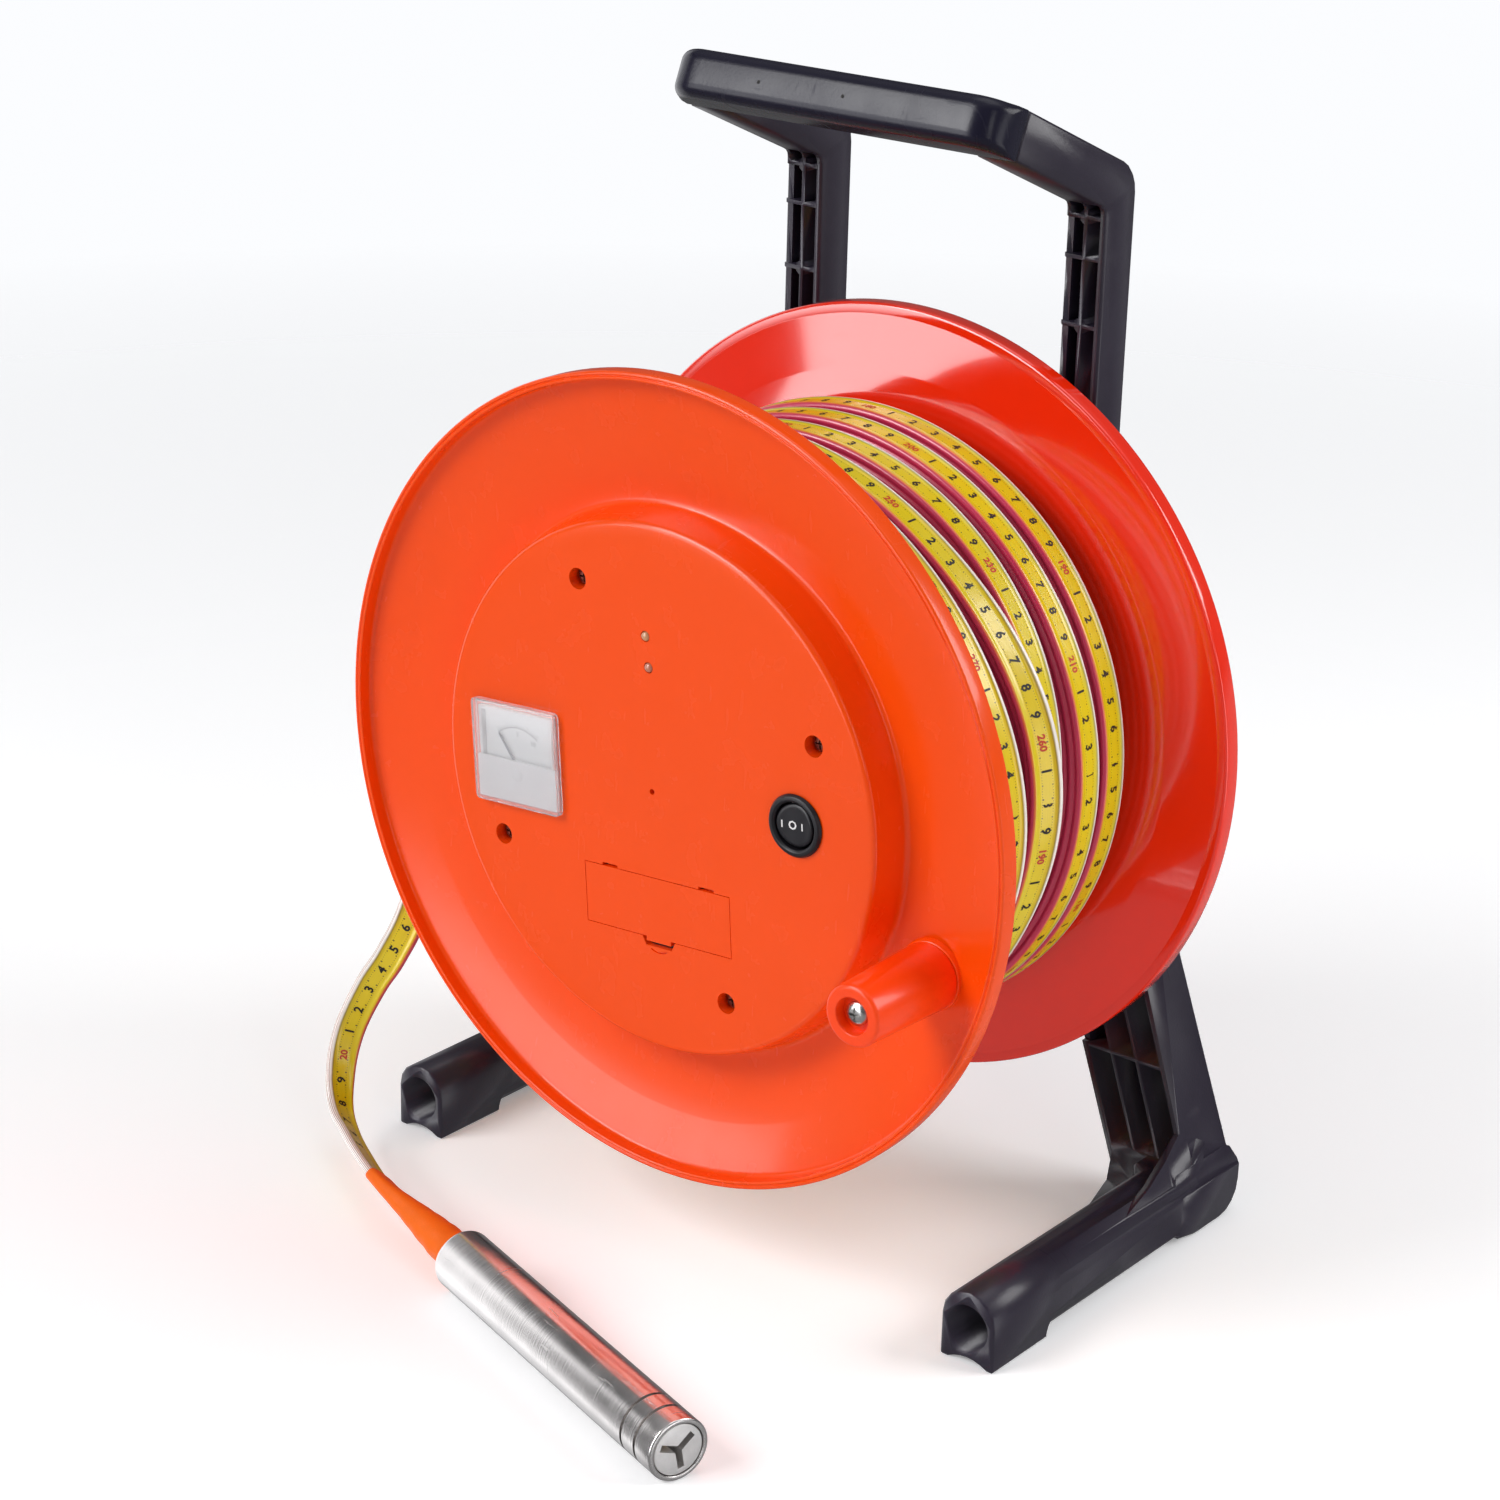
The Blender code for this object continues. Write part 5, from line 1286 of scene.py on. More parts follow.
@dataclass
class FreeTape:
    """The tape's free end, from the winding to the probe's sleeve.

    Attributes:
        route: places it passes, in the stand's axes. The last two lie inside the sleeve, and the route ends
            at the probe's back end.
        facing: how far along, as a share, and the direction from its front edge to its rear edge there.
        hidden: length inside the sleeve.
        size: the tape's section.
    """

    route: tuple[tuple[float, float, float], ...] = (
        (-0.1180, 0.0152, -0.0248),
        (-0.1218, -0.0180, -0.0242),
        (-0.1258, -0.0540, -0.0200),
        (-0.1308, -0.0880, -0.0120),
        (-0.1368, -0.1069, -0.0055),
        (-0.1434, -0.1201, -0.0010),
        (-0.1500, -0.1381, 0.0040),
        (-0.1500, -0.1532, 0.0095),
        (-0.1428, -0.1662, 0.0170),
        (-0.1236, -0.1690, 0.0290),
        (-0.0909, -0.1671, 0.0477),
        (-0.0640, -0.1704, 0.0545),
        (-0.0380, -0.1738, 0.0609),
    )
    facing: tuple[tuple[float, tuple[float, float, float]], ...] = (
        (0.00, (0.0, 1.0, 0.0)),
        (0.12, (-0.70, 0.70, 0.0)),
        (0.25, (-0.95, -0.30, 0.10)),
        (0.45, (-0.80, -0.60, 0.15)),
        (0.59, (-0.35, -0.85, 0.40)),
        (0.68, (0.25, -0.80, 0.55)),
        (0.80, (0.45, -0.75, 0.50)),
        (1.00, (0.45, -0.75, 0.50)),
    )
    hidden: float = 55.0 * MM
    size: TapeSize = TapeSize()

    def run(self) -> TapeRun:
        """Reads the route through a smooth curve and turns the tape as its facing says.

        Between two places b and c, with a before and d after them, the curve is
        b + (c - a) t / 2 + (2 a - 5 b + 4 c - d) t^2 / 2 + (3 b - a - 3 c + d) t^3 / 2.
        The width's direction is the facing less its share along the curve, and the normal is width x run.

        Returns:
            The free end's run.
        """
        knots = STAND.world(np.array(self.route))
        knots = np.concatenate([2 * knots[:1] - knots[1:2], knots, 2 * knots[-1:] - knots[-2:-1]])
        t = np.linspace(0, 1, 24, endpoint=False)[None, :, None]
        a, b, c, d = (knots[i : len(knots) - 3 + i, None] for i in range(4))
        bend, twist = 2 * a - 5 * b + 4 * c - d, 3 * b - a - 3 * c + d
        curve = b + (c - a) * t / 2 + bend * t**2 / 2 + twist * t**3 / 2
        centre = np.concatenate([curve.reshape(-1, 3), knots[-2:-1]])
        along = np.concatenate([[0], np.cumsum(np.linalg.norm(np.diff(centre, axis=0), axis=1))])
        tangent = unit(np.gradient(centre, along, axis=0))
        share = np.array([s for s, _ in self.facing]) * along[-1]
        facing = np.array([v for _, v in self.facing])
        wide = np.stack([np.interp(along, share, facing[:, k]) for k in range(3)], axis=-1)
        wide = unit(wide - (wide * tangent).sum(axis=1, keepdims=True) * tangent)
        return TapeRun(along, centre, wide, unit(np.cross(wide, tangent)))

    def section(self) -> tuple[Array, Array]:
        """Draws the whole section: the printed side, and below it the same outline for the back.

        Returns:
            (m, 2) widths and heights, and each point's pattern value.
        """
        top, bands = self.size.section(1, 0.0)
        top, bands = top[:-2], bands[:-2]
        thick = 2 * (self.size.bead - self.size.web_drop)
        back = np.stack([top[::-1, 0], -top[::-1, 1] - thick], axis=-1)
        back_bands = np.where(bands[::-1] > 0.7, 0.9, np.where(bands[::-1] < 0.38, 0.1, 0.6))
        return np.concatenate([top, back]), np.concatenate([bands, back_bands])

    def build(self, with_pieces: list) -> None:
        """Args:
            with_pieces: what hangs on its end. Not used.
        """
        run = self.run()
        section, bands = self.section()
        half = self.size.bead - self.size.web_drop
        section = section + (0.0, half)
        strip = run.sweep("free_tape", section, bands, closed=False, steps=150)
        dress(strip, TAPE, "stand")
        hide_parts("tape_end")
        lifted = TapeRun(run.along, run.centre + run.outward * half, run.across, run.outward)
        stamps = Printing().figures(lifted, 6, 3, 13 * MM, run.along[-1] - self.hidden - 30 * MM, -1)
        for ink, found in stamps.items():
            dress(gather(f"free_figures_{ink.name}", found), ink, "stand")
        LOG.info("free tape: %.3f m", run.along[-1])


# Reel


@dataclass
class Flanges:
    """The two dished flanges and the round instrument housing of the front one.

    Attributes:
        radius: outer radius.
        lip: width of the raised lip.
        lip_depth: how far the lip stands over the dish's edge.
        dish: depth of the dish at the housing.
        skin: wall.
        width: over both lips.
        boss: radius of the housing's face.
        draft: how much wider the housing is at its foot.
        proud: how far its face stands in front of the lip.
        sides: faces round a flange.
    """

    radius: float = 148.5 * MM
    lip: float = 3.0 * MM
    lip_depth: float = 5.4 * MM
    dish: float = 12.6 * MM
    skin: float = 2.5 * MM
    width: float = 144.2 * MM
    boss: float = 97.2 * MM
    draft: float = 2.7 * MM
    proud: float = 2.0 * MM
    sides: int = 240

    def dish_profile(self, level: float, inward: float, foot: float) -> tuple[Array, Array]:
        """Draws one dish: its outer face out to the lip, and its inner face back, as (radius, level).

        Args:
            level: plane of the lip.
            inward: 1 or -1, the way to the reel's middle.
            foot: radius where the dish starts.

        Returns:
            Corners and their radii, from the foot's outer face round the lip to the foot's inner face.
        """
        inner = self.radius - self.lip
        slope = (self.dish - self.lip_depth) / (inner - foot)
        middle = (foot + inner) / 2
        depth = self.lip_depth + slope * (inner - middle) + 0.35 * MM
        corners = [
            (foot, self.dish),
            (middle, depth),
            (inner, self.lip_depth),
            (inner, 0.0),
            (inner + 0.30 * self.lip, 0.0),
            (inner + 0.45 * self.lip, 0.6 * MM),
            (inner + 0.60 * self.lip, 0.0),
            (self.radius, 0.0),
            (self.radius, self.lip_depth + self.skin),
            (inner - 1.0 * MM, self.lip_depth + self.skin),
            (middle, depth + self.skin),
            (foot, self.dish + self.skin),
        ]
        radii = np.array([0, 18.0, 2.0, 0.5, 0.2, 0.2, 0.2, 0.9, 1.2, 1.0, 18.0, 0]) * MM
        points = np.array(corners)
        return np.stack([points[:, 0], level + inward * points[:, 1]], axis=-1), radii

    def front(self) -> bpy.types.Object:
        """Builds the front flange in one with the instrument housing, before its openings are cut.

        Returns:
            The flange.
        """
        dish, dish_radii = self.dish_profile(0.0, -1.0, self.boss + self.draft + 9 * MM)
        foot = self.boss + self.draft
        inside = self.proud - self.skin
        face = [(radius, self.proud) for radius in (0, 60 * MM, 90 * MM, self.boss)]
        before = [*face, (foot, -self.dish)]
        after = [(foot - self.skin, -self.dish - self.skin), (self.boss - self.skin, inside), (0, inside)]
        corners = np.concatenate([before, dish, after])
        radii = np.concatenate([[0, 0, 0, 2.4 * MM, 2.2 * MM], dish_radii, [2.0 * MM, 1.0 * MM, 0]])
        piece = turn("front_flange_shell", soften(corners, radii, 7), REEL, sides=self.sides)
        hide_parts("front_flange")
        return piece

    def rear(self) -> bpy.types.Object:
        """Builds the rear flange with its hub.

        Returns:
            The flange.
        """
        hub, bore, hub_rear, hub_front = 17.0 * MM, 11.35 * MM, -141 * MM, -112 * MM
        dish, dish_radii = self.dish_profile(-self.width, 1.0, 104 * MM)
        face = -self.width + self.dish + self.skin
        back = -self.width + self.dish
        before = [(bore, hub_rear), (hub, hub_rear), (hub, back)]
        after = [(hub, face), (hub, hub_front), (bore, hub_front)]
        corners = np.concatenate([before, dish, after])
        radii = np.concatenate([[0.5 * MM, 0.5 * MM, 1 * MM], dish_radii, [1 * MM, 0.5 * MM, 0.5 * MM]])
        piece = turn("rear_flange_shell", soften(corners, radii, 6), REEL, sides=self.sides, ring=True)
        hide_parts("rear_flange")
        return piece


@dataclass
class InstrumentFace:
    """Everything on and in the round instrument housing.

    Attributes:
        flanges: sizes of the flange that it is part of.
        screw_circle: radius on which the screws sit.
        screw_angles: angles of the screws, in degrees.
        cup: radius of a screw's recess.
        shank: radius of a screw's hole.
        seat: level of a screw head's seat.
        door_at: middle of the battery door.
        door: width and height of the door.
        tabs: middles of the hinge tabs, from the door's middle.
        switch_at: middle of the switch.
        meter_at: middle of the panel meter.
        meter: width and height of the meter's cover.
        lamps: places of the two lamps.
        knob_at: radius and angle of the crank knob.
    """

    flanges: Flanges = field(default_factory=Flanges)
    screw_circle: float = 78.8 * MM
    screw_angles: tuple[float, ...] = (22.5, 112.5, 202.5, 292.5)
    cup: float = 3.9 * MM
    shank: float = 2.1 * MM
    seat: float = -4.1 * MM
    door_at: tuple[float, float] = (0.0, -43.8 * MM)
    door: tuple[float, float] = (66.5 * MM, 22.6 * MM)
    tabs: tuple[float, float] = (-21.5 * MM, 23.0 * MM)
    switch_at: tuple[float, float] = (64.2 * MM, 0.4 * MM)
    meter_at: tuple[float, float] = (-62.7 * MM, 2.0 * MM)
    meter: tuple[float, float] = (40.5 * MM, 38.5 * MM)
    lamps: tuple[tuple[float, float], ...] = ((0.0, 56.7 * MM), (0.8 * MM, 45.5 * MM))
    knob_at: tuple[float, float] = (121.3 * MM, -22.5)

    def hatch(self) -> Array:
        """Draws the hatch's opening, with its finger notch below and a notch over each hinge tab.

        Returns:
            (n, 2) points of the outline.
        """
        half_w, half_h = self.door[0] / 2 + GAP, self.door[1] / 2 + GAP
        latch, notch, tab, rise = 7.5 * MM, 3.2 * MM, 3.5 * MM, 1.0 * MM
        points = [(-half_w, -half_h), (-latch, -half_h), (-latch + notch / 2, -half_h - notch)]
        points += [
            (latch - notch / 2, -half_h - notch), (latch, -half_h), (half_w, -half_h), (half_w, half_h)
        ]
        for centre in sorted(self.tabs, reverse=True):
            points += [(centre + tab, half_h), (centre + tab, half_h + rise)]
            points += [(centre - tab, half_h + rise), (centre - tab, half_h)]
        points.append((-half_w, half_h))
        return np.array(points) + self.door_at

    def finger_groove(self) -> Array:
        """Draws the thin curved groove under the finger notch: an arc of a circle, out and back.

        Returns:
            (n, 2) points of the outline.
        """
        t = np.radians(np.linspace(-122, -58, 17))
        centre = np.array([self.door_at[0], self.door_at[1] - self.door[1] / 2 - 3.6 * MM + 5.0 * MM])
        ring = np.stack([np.cos(t), np.sin(t)], axis=-1)
        return centre + np.concatenate([ring * 7.2 * MM, ring[::-1] * 6.6 * MM])

    def screws(self) -> list[tuple[float, float]]:
        """Gives the places of the screws."""
        return [polar(self.screw_circle, angle) for angle in self.screw_angles]

    def cut_flange(self, flange: bpy.types.Object) -> None:
        """Cuts the openings of the instruments, the hatch, the screws and the crank from the front flange.

        Args:
            flange: the front flange.
        """
        over, under = 4 * MM, -5 * MM
        meter = rectangle(self.meter[0] - 4.8 * MM, self.meter[1] - 4.8 * MM, self.meter_at)
        holes = [prism("hole", circle(self.cup, p), under, over, REEL) for p in self.screws()]
        holes += [prism("hole", circle(2.0 * MM, p, 24), under, over, REEL) for p in self.lamps]
        holes.append(prism("hole", circle(1.1 * MM, sides=24), under, over, REEL))
        holes.append(prism("hole", circle(10.3 * MM, self.switch_at), under, over, REEL))
        holes.append(prism("hole", meter, under, over, REEL))
        holes.append(prism("hole", self.hatch(), under, over, REEL))
        holes.append(prism("hole", self.finger_groove(), self.flanges.proud - 0.8 * MM, over, REEL))
        holes.append(prism("hole", circle(2.7 * MM, polar(*self.knob_at)), -20 * MM, over, REEL))
        carve(flange, holes)

    def cups(self) -> None:
        """Builds the screws' recesses, hung from the face, and the pads round the crank's hole."""
        wall = 1.6 * MM
        top = self.flanges.proud - self.flanges.skin + 0.05 * MM
        low, outer = self.seat - wall, self.cup + wall
        profile = [(self.shank, self.seat), (self.cup, self.seat), (self.cup, top), (outer, top)]
        profile += [(outer, low), (self.shank, low)]
        for number, place in enumerate(self.screws(), start=1):
            cup = turn(f"screw_cup_{number}", np.array(profile), REEL, place, 48, ring=True)
            dress(cup, ORANGE, "reel")
        spot = polar(*self.knob_at)
        corners = np.array([(2.7, -9.4), (2.7, -7.0), (12.5, -7.0), (12.9, -9.4)]) * MM
        pad = soften(corners, [0, 0, 0.6 * MM, 0])
        dress(turn("crank_pad", pad, REEL, spot, 64, ring=True), ORANGE, "reel")
        corners = np.array([(2.7, -14.2), (4.7, -14.2), (4.9, -10.4), (2.7, -10.4)]) * MM
        rear = soften(corners, [0, 0.5 * MM, 0, 0])
        dress(turn("crank_rear_pad", rear, REEL, spot, 48, ring=True), ORANGE, "reel")

    def cross_head(
        self,
        name: str,
        node: str,
        radius: float,
        top: float,
        height: float,
        shank: float,
        tail: float,
        at: tuple[float, float],
        axes_sign: float = 1.0,
    ) -> bpy.types.Object:
        """Builds a screw with a domed head and a cross recess.

        The head's dome is top - 0.45 height (r / radius)^4, and the recess is two crossed bars.

        Args:
            name: the piece's name.
            node: the CAD node that it stands for.
            radius: radius of the head.
            top: level of the head's crown.
            height: height of the head.
            shank: radius of the shank.
            tail: level of the shank's end.
            at: place of its axis.
            axes_sign: -1 for a screw that looks backwards.

        Returns:
            The screw.
        """
        r = np.linspace(0, radius, 9)
        dome = np.stack([r, top - axes_sign * height * 0.45 * (r / radius) ** 4], axis=-1)
        under = top - axes_sign * height
        rest = [(radius, under), (shank, under), (shank, tail), (0, tail)]
        piece = turn(name, np.concatenate([dome, rest]), REEL, at, 40)
        arm, width, deep = radius * 0.62, radius * 0.2, height * 0.75
        low, high = sorted((top - axes_sign * deep, top + axes_sign * deep))
        bars = [
            prism("bar", rectangle(*size, at), low, high, REEL)
            for size in ((2 * arm, width), (width, 2 * arm))
        ]
        carve(piece, bars)
        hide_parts(node)
        return piece

    def fasteners(self) -> None:
        """Builds the screws of both flanges."""
        head, height, shank, tail = 3.3 * MM, 2.4 * MM, 1.8 * MM, -15.3 * MM
        top = self.seat + GAP + height
        rear = -self.flanges.width + self.flanges.dish - GAP - height
        rear_tail = rear + 14 * MM
        for number, place in enumerate(self.screws(), start=1):
            name, node = f"cover_screw_head_{number}", f"cover_screw_{number}"
            front = self.cross_head(name, node, head, top, height, shank, tail, place)
            # Front screws: steel painted darker and redder, for the shade in their recesses and the orange
            # cups' reflection.
            dress(front, SCREW_SHADE_AND_REFLECTION, "reel")
            name, node = f"rear_screw_head_{number}", f"rear_screw_{number}"
            back = self.cross_head(name, node, head, rear, height, shank, rear_tail, place, -1.0)
            dress(back, STEEL, "reel")

    def panel_meter(self, frame: dict) -> None:
        """Builds the meter: its clear cover, frosted lower part, dial with a scale, and needle.

        Args:
            frame: the loaded frame.
        """
        x, y = self.meter_at
        base = self.flanges.proud + GAP
        cover = softened("meter_window", "meter_cover", 0.5 * MM, 3)
        dress(cover, CLEAR, "reel")
        dress_node(frame, METER_WHITE, "meter_case")
        dress_node(frame, DIAL_PAPER, "meter_dial")
        split = y - 2.0 * MM
        low = y - self.meter[1] / 2 + 1.5 * MM
        panel = soften(rectangle(self.meter[0] - 3.0 * MM, split - low, (x, (split + low) / 2)), 0.6 * MM, 4)
        lower = prism("meter_lower_panel", panel, base + 0.35 * MM, base + 1.15 * MM, REEL)
        bevel(lower, 0.2 * MM)
        dress(lower, FROSTED, "reel")
        top, foot = base + 1.25 * MM, base + 0.9 * MM
        boss = np.array([(0, top), (2.6 * MM, top), (3.2 * MM, foot), (0, foot)])
        dress(turn("meter_pivot_cap", boss, REEL, (x, y - 7.0 * MM), 40), FROSTED, "reel")
        self.meter_scale(base - 0.17 * MM)
        dress_node(frame, GREY_INK, "meter_needle")

    def meter_scale(self, level: float) -> None:
        """Prints the dial: an arc, its strokes and three numbers. All are polar about the needle's pivot.

        Args:
            level: level of the print.
        """
        x, y = self.meter_at[0], self.meter_at[1] - 5.0 * MM
        stamps = []

        def stroke(inner: float, outer: float, angle: float, half: float) -> None:
            """Adds a stroke between two radii, as wide as half an angle on each side of its middle.

            Args:
                inner: radius where it starts.
                outer: radius where it ends.
                angle: its middle, in degrees.
                half: half its width, in degrees.
            """
            t = np.radians([angle - half, angle + half])
            corner = np.stack([np.cos(t), np.sin(t)], axis=-1)
            points = np.concatenate([corner * inner, corner[::-1] * outer]) + (x, y)
            stamps.append((REEL.world(np.column_stack([points, np.full(4, level)])), [(0, 1, 2, 3)]))

        for angle in np.linspace(52, 128, 39):
            stroke(15.1 * MM, 15.35 * MM, angle, 1.05)
        for number, angle in enumerate(np.linspace(54, 126, 21)):
            stroke(15.3 * MM, (17.2 if number % 5 == 0 else 16.3) * MM, angle, 0.42)
        for text, angle in (("0", 126), ("5", 90), ("10", 54)):
            points, faces = glyph(text, 2.6 * MM)
            spot = points + (x, y) + np.array(polar(13.0 * MM, angle))
            stamps.append((REEL.world(np.column_stack([spot, np.full(len(spot), level)])), list(faces)))
        dress(gather("meter_scale", stamps), GREY_INK, "reel")

    def switch(self) -> None:
        """Builds the round switch: bezel, rocker and its three signs.

        The rocker's top is rise + dip (x / radius)^2, less a rounding near its rim.
        """
        proud = self.flanges.proud
        cavity = 8.5 * MM
        corners = [
            (0, -10.4),
            (8.5, -10.4),
            (8.5, 1.0),
            (9.3, 1.75),
            (10.6, 1.6),
            (11.5, 0.3),
            (10.0, 0.3),
            (10.0, -12.0),
            (0, -12.0),
        ]
        radii = [0, 0.3, 0.5, 0.5, 0.6, 0.15, 0.1, 0.5, 0]
        profile = soften(np.array(corners) * MM, np.array(radii) * MM, 5) + (0, proud)
        bezel = turn("switch_bezel", profile, REEL, self.switch_at, 96)
        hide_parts("switch_body")
        dress(bezel, SWITCH_BLACK, "reel")
        radius, rise, dip = cavity - 0.7 * MM, 0.35 * MM, 1.1 * MM
        rim = np.linspace(0, 2 * pi, 72, endpoint=False)
        share = np.concatenate([np.linspace(0, 0.9, 10), [0.95, 0.985, 1.0]])
        x = radius * np.outer(share, np.cos(rim))
        y = radius * np.outer(share, np.sin(rim))
        ease = np.clip((share - 0.9) / 0.1, 0, 1)[:, None]
        top = rise + dip * (x / radius) ** 2 - 0.7 * MM * ease**2
        side = np.stack([x[-1] * 0.97, y[-1] * 0.97, np.full(72, -3.2 * MM)], axis=-1)[None]
        bottom = np.stack([0 * rim, 0 * rim, np.full(72, -3.2 * MM)], axis=-1)[None]
        grid = np.concatenate([np.stack([x, y, top], axis=-1), side, bottom]) + (*self.switch_at, proud)
        rocker = lay("switch_rocker_cap", REEL.world(grid), wrap_columns=True, sharp=55)
        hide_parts("switch_rocker")
        dress(rocker, SWITCH_BLACK, "rocker")
        stamps = []
        signs = (("I", -5.4 * MM, 3.6 * MM), ("O", -1.2 * MM, 4.3 * MM), ("I", 3.0 * MM, 3.6 * MM))
        for text, shift, size in signs:
            points, faces = glyph(text, size, 0.1 * MM)
            places = points + (shift, 0.0)
            level = rise + dip * (places[:, 0] / radius) ** 2 + 0.03 * MM
            spot = np.column_stack([places + self.switch_at, level + proud])
            stamps.append((REEL.world(spot), list(faces)))
        dress(gather("switch_signs", stamps), WHITE_INK, "rocker")

    def crank(self) -> None:
        """Builds the crank knob and the bolt that it turns on."""
        spot = polar(*self.knob_at)
        corners = [(6.6, 35.5), (11.0, 35.5), (12.2, -6.7), (2.75, -6.7), (2.75, 31.0), (6.6, 31.0)]
        radii = [0.4, 1.5, 0.5, 0, 0, 0]
        profile = soften(np.array(corners) * MM, np.array(radii) * MM, 7)
        knob = turn("crank_grip", profile, REEL, spot, 96, ring=True)
        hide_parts("crank_knob")
        dress(knob, KNOB_ORANGE, "knob")
        bolt = self.cross_head(
            "crank_bolt_head", "crank_bolt", 4.2 * MM, 33.9 * MM, 2.6 * MM, 2.4 * MM, -17.5 * MM, spot
        )
        dress(bolt, STEEL, "reel")

    def lamps_and_vent(self) -> None:
        """Builds the two lamps, which end in a dome that stands a little over the face."""
        for name, place, finish in zip(("lamp_power", "lamp_contact"), self.lamps, (LENS_AMBER, LENS_RED)):
            r = np.linspace(0, 1, 9)
            level = self.flanges.proud + 0.8 * MM - 1.1 * MM * (1 - np.sqrt(1 - 0.98 * r**2))
            shank = [(1.7 * MM, -11.2 * MM), (0, -11.2 * MM)]
            profile = np.concatenate([np.stack([r * 1.7 * MM, level], axis=-1), shank])
            lamp = turn(f"{name}_lens", profile, REEL, place, 32)
            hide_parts(name)
            dress(lamp, finish, "reel")

    def build(self, frame: dict) -> None:
        """Builds the whole face.

        Args:
            frame: the loaded frame.
        """
        flange = self.flanges.front()
        self.cut_flange(flange)
        dress(flange, ORANGE, "reel")
        rear = self.flanges.rear()
        bores = [prism("hole", circle(self.shank, p, 32), -150 * MM, -120 * MM, REEL) for p in self.screws()]
        carve(rear, bores)
        # Redder, darker orange on the rear flange: painted shade.
        dress(rear, REAR_ORANGE_SHADED, "reel")
        self.cups()
        self.fasteners()
        self.panel_meter(frame)
        self.switch()
        self.crank()
        self.lamps_and_vent()
        door = softened("battery_door", "battery_door_panel")
        dress(door, ORANGE, "door")
        dress_node(frame, SWITCH_BLACK, "battery_box", "buzzer")
        dress_node(frame, BATTERY, "battery")
        dress_node(frame, BOARD, "circuit_board")
        dress_node(frame, STEEL, "crank_nut")
        dress_node(frame, DRUM_GREY, "drum_core")
        dress_node(frame, BRONZE, "front_bush", "rear_bush")


# Stand


@dataclass
class CarryingStand:
    """The moulded stand, the grip, the crossbar and the axle.

    Attributes:
        edge: rounding of the crossbar's edges.
        tilt: slope of the arms.
        reach: half the grip's length.
        nose: depth and height of the grip's front lower edge.
        depth: the grip's size along the arms.
        height: its size square on the arms.
        corner: radius of its front corners.
        pins: where the two ejector marks are.
    """

    edge: float = 0.6 * MM
    tilt: float = radians(23.0)
    reach: float = 72.0 * MM
    nose: tuple[float, float] = (80.5 * MM, 193.0 * MM + 74.7 * MM * tan(radians(23.0)))
    depth: float = 18.0 * MM
    height: float = 18.0 * MM
    corner: float = 13.0 * MM
    pins: tuple[float, ...] = (-29.0 * MM, 8.0 * MM)

    def along_arm(self, x: Array, back: Array, up: Array) -> Array:
        """Gives world places from the grip's front lower edge.

        The level is nose - sin(tilt) back + cos(tilt) up, and the depth nose + cos(tilt) back + sin(tilt) up.

        Args:
            x: how far to the right.
            back: how far down along the arm.
            up: how far square on the arm.

        Returns:
            World places.
        """
        c, s = cos(self.tilt), sin(self.tilt)
        depth, level = self.nose
        y = level - s * back + c * up
        z = -(depth + c * back + s * up)
        return STAND.world(np.stack(np.broadcast_arrays(x, y, z), axis=-1))

    def grip(self) -> bpy.types.Object:
        """Builds the hand grip.

        Its plan is a rectangle with round front corners. Down the wall, each point of the plan moves in by
        r (1 - cos a) and up or down by r sin a, a quarter turn at the top and at the bottom. The radius r is
        5 mm in front and shrinks to 1 mm where the bar meets the arms.

        Returns:
            The grip.
        """
        plan = [(-self.reach, 0), (self.reach, 0), (self.reach, self.depth), (-self.reach, self.depth)]
        outline = soften(plan, [self.corner, self.corner, 0.8 * MM, 0.8 * MM], 13)
        ends = np.linspace(0, 1, 40)[:, None]
        first, last = outline[12], outline[13]
        outline = np.concatenate([outline[:13], first + (last - first) * ends[1:-1], outline[13:]])
        edge = np.roll(outline, -1, axis=0) - np.roll(outline, 1, axis=0)
        inward = unit(np.stack([-edge[:, 1], edge[:, 0]], axis=-1))
        r = np.interp(outline[:, 1], [0.0, 9 * MM, 15 * MM], [5.0 * MM, 4.2 * MM, 0.7 * MM])
        a = np.linspace(0, pi / 2, 8)
        inset = np.concatenate([1 - np.cos(a[::-1]), 1 - np.cos(a)])[:, None] * r
        low = r * (1 - np.sin(a[::-1]))[:, None]
        level = np.concatenate([low, self.height - low[::-1]])
        place = outline[None] + inward[None] * inset[..., None]
        grid = self.along_arm(place[..., 0], place[..., 1], level)
        return lay("grip_bar_moulding", grid, wrap_columns=True, capped=True, sharp=60)

    def pin_marks(self) -> bpy.types.Object:
        """Builds the two small ejector marks on the grip's front, as flat near-black matte discs: painted
        shade of the dents.

        Returns:
            The marks, as one piece.
        """
        stamps, sides = [], 16
        for x in self.pins:
            ring = circle(0.7 * MM, (x, self.height / 2), sides)
            places = self.along_arm(ring[:, 0], np.full(sides, -0.03 * MM), ring[:, 1])
            stamps.append((places, [tuple(range(sides))]))
        return gather("grip_pin_marks", stamps)

    def build(self, frame: dict) -> None:
        """Builds the mouldings and dresses the metal.

        Args:
            frame: the loaded frame.
        """
        for node in ("left_side_frame", "right_side_frame"):
            dress(softened(node, f"{node}_moulding"), BLACK, "stand")
        dress(softened("hub_crossbar", "hub_crossbar_moulding", self.edge), BLACK, "stand")
        grip = dress(self.grip(), GRIP_BLACK, "stand")
        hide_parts("grip_bar")
        # Ejector marks as flat near-black discs: painted shade of the dents.
        dress(self.pin_marks(), DENT_SHADE_BLACK, "stand")
        dress_node(frame, STEEL, "axle", "axle_clip", "axle_washer", "axle_nut")
        dress_node(frame, STEEL, *[f"hub_screw_{n}" for n in range(1, 5)])


# Probe


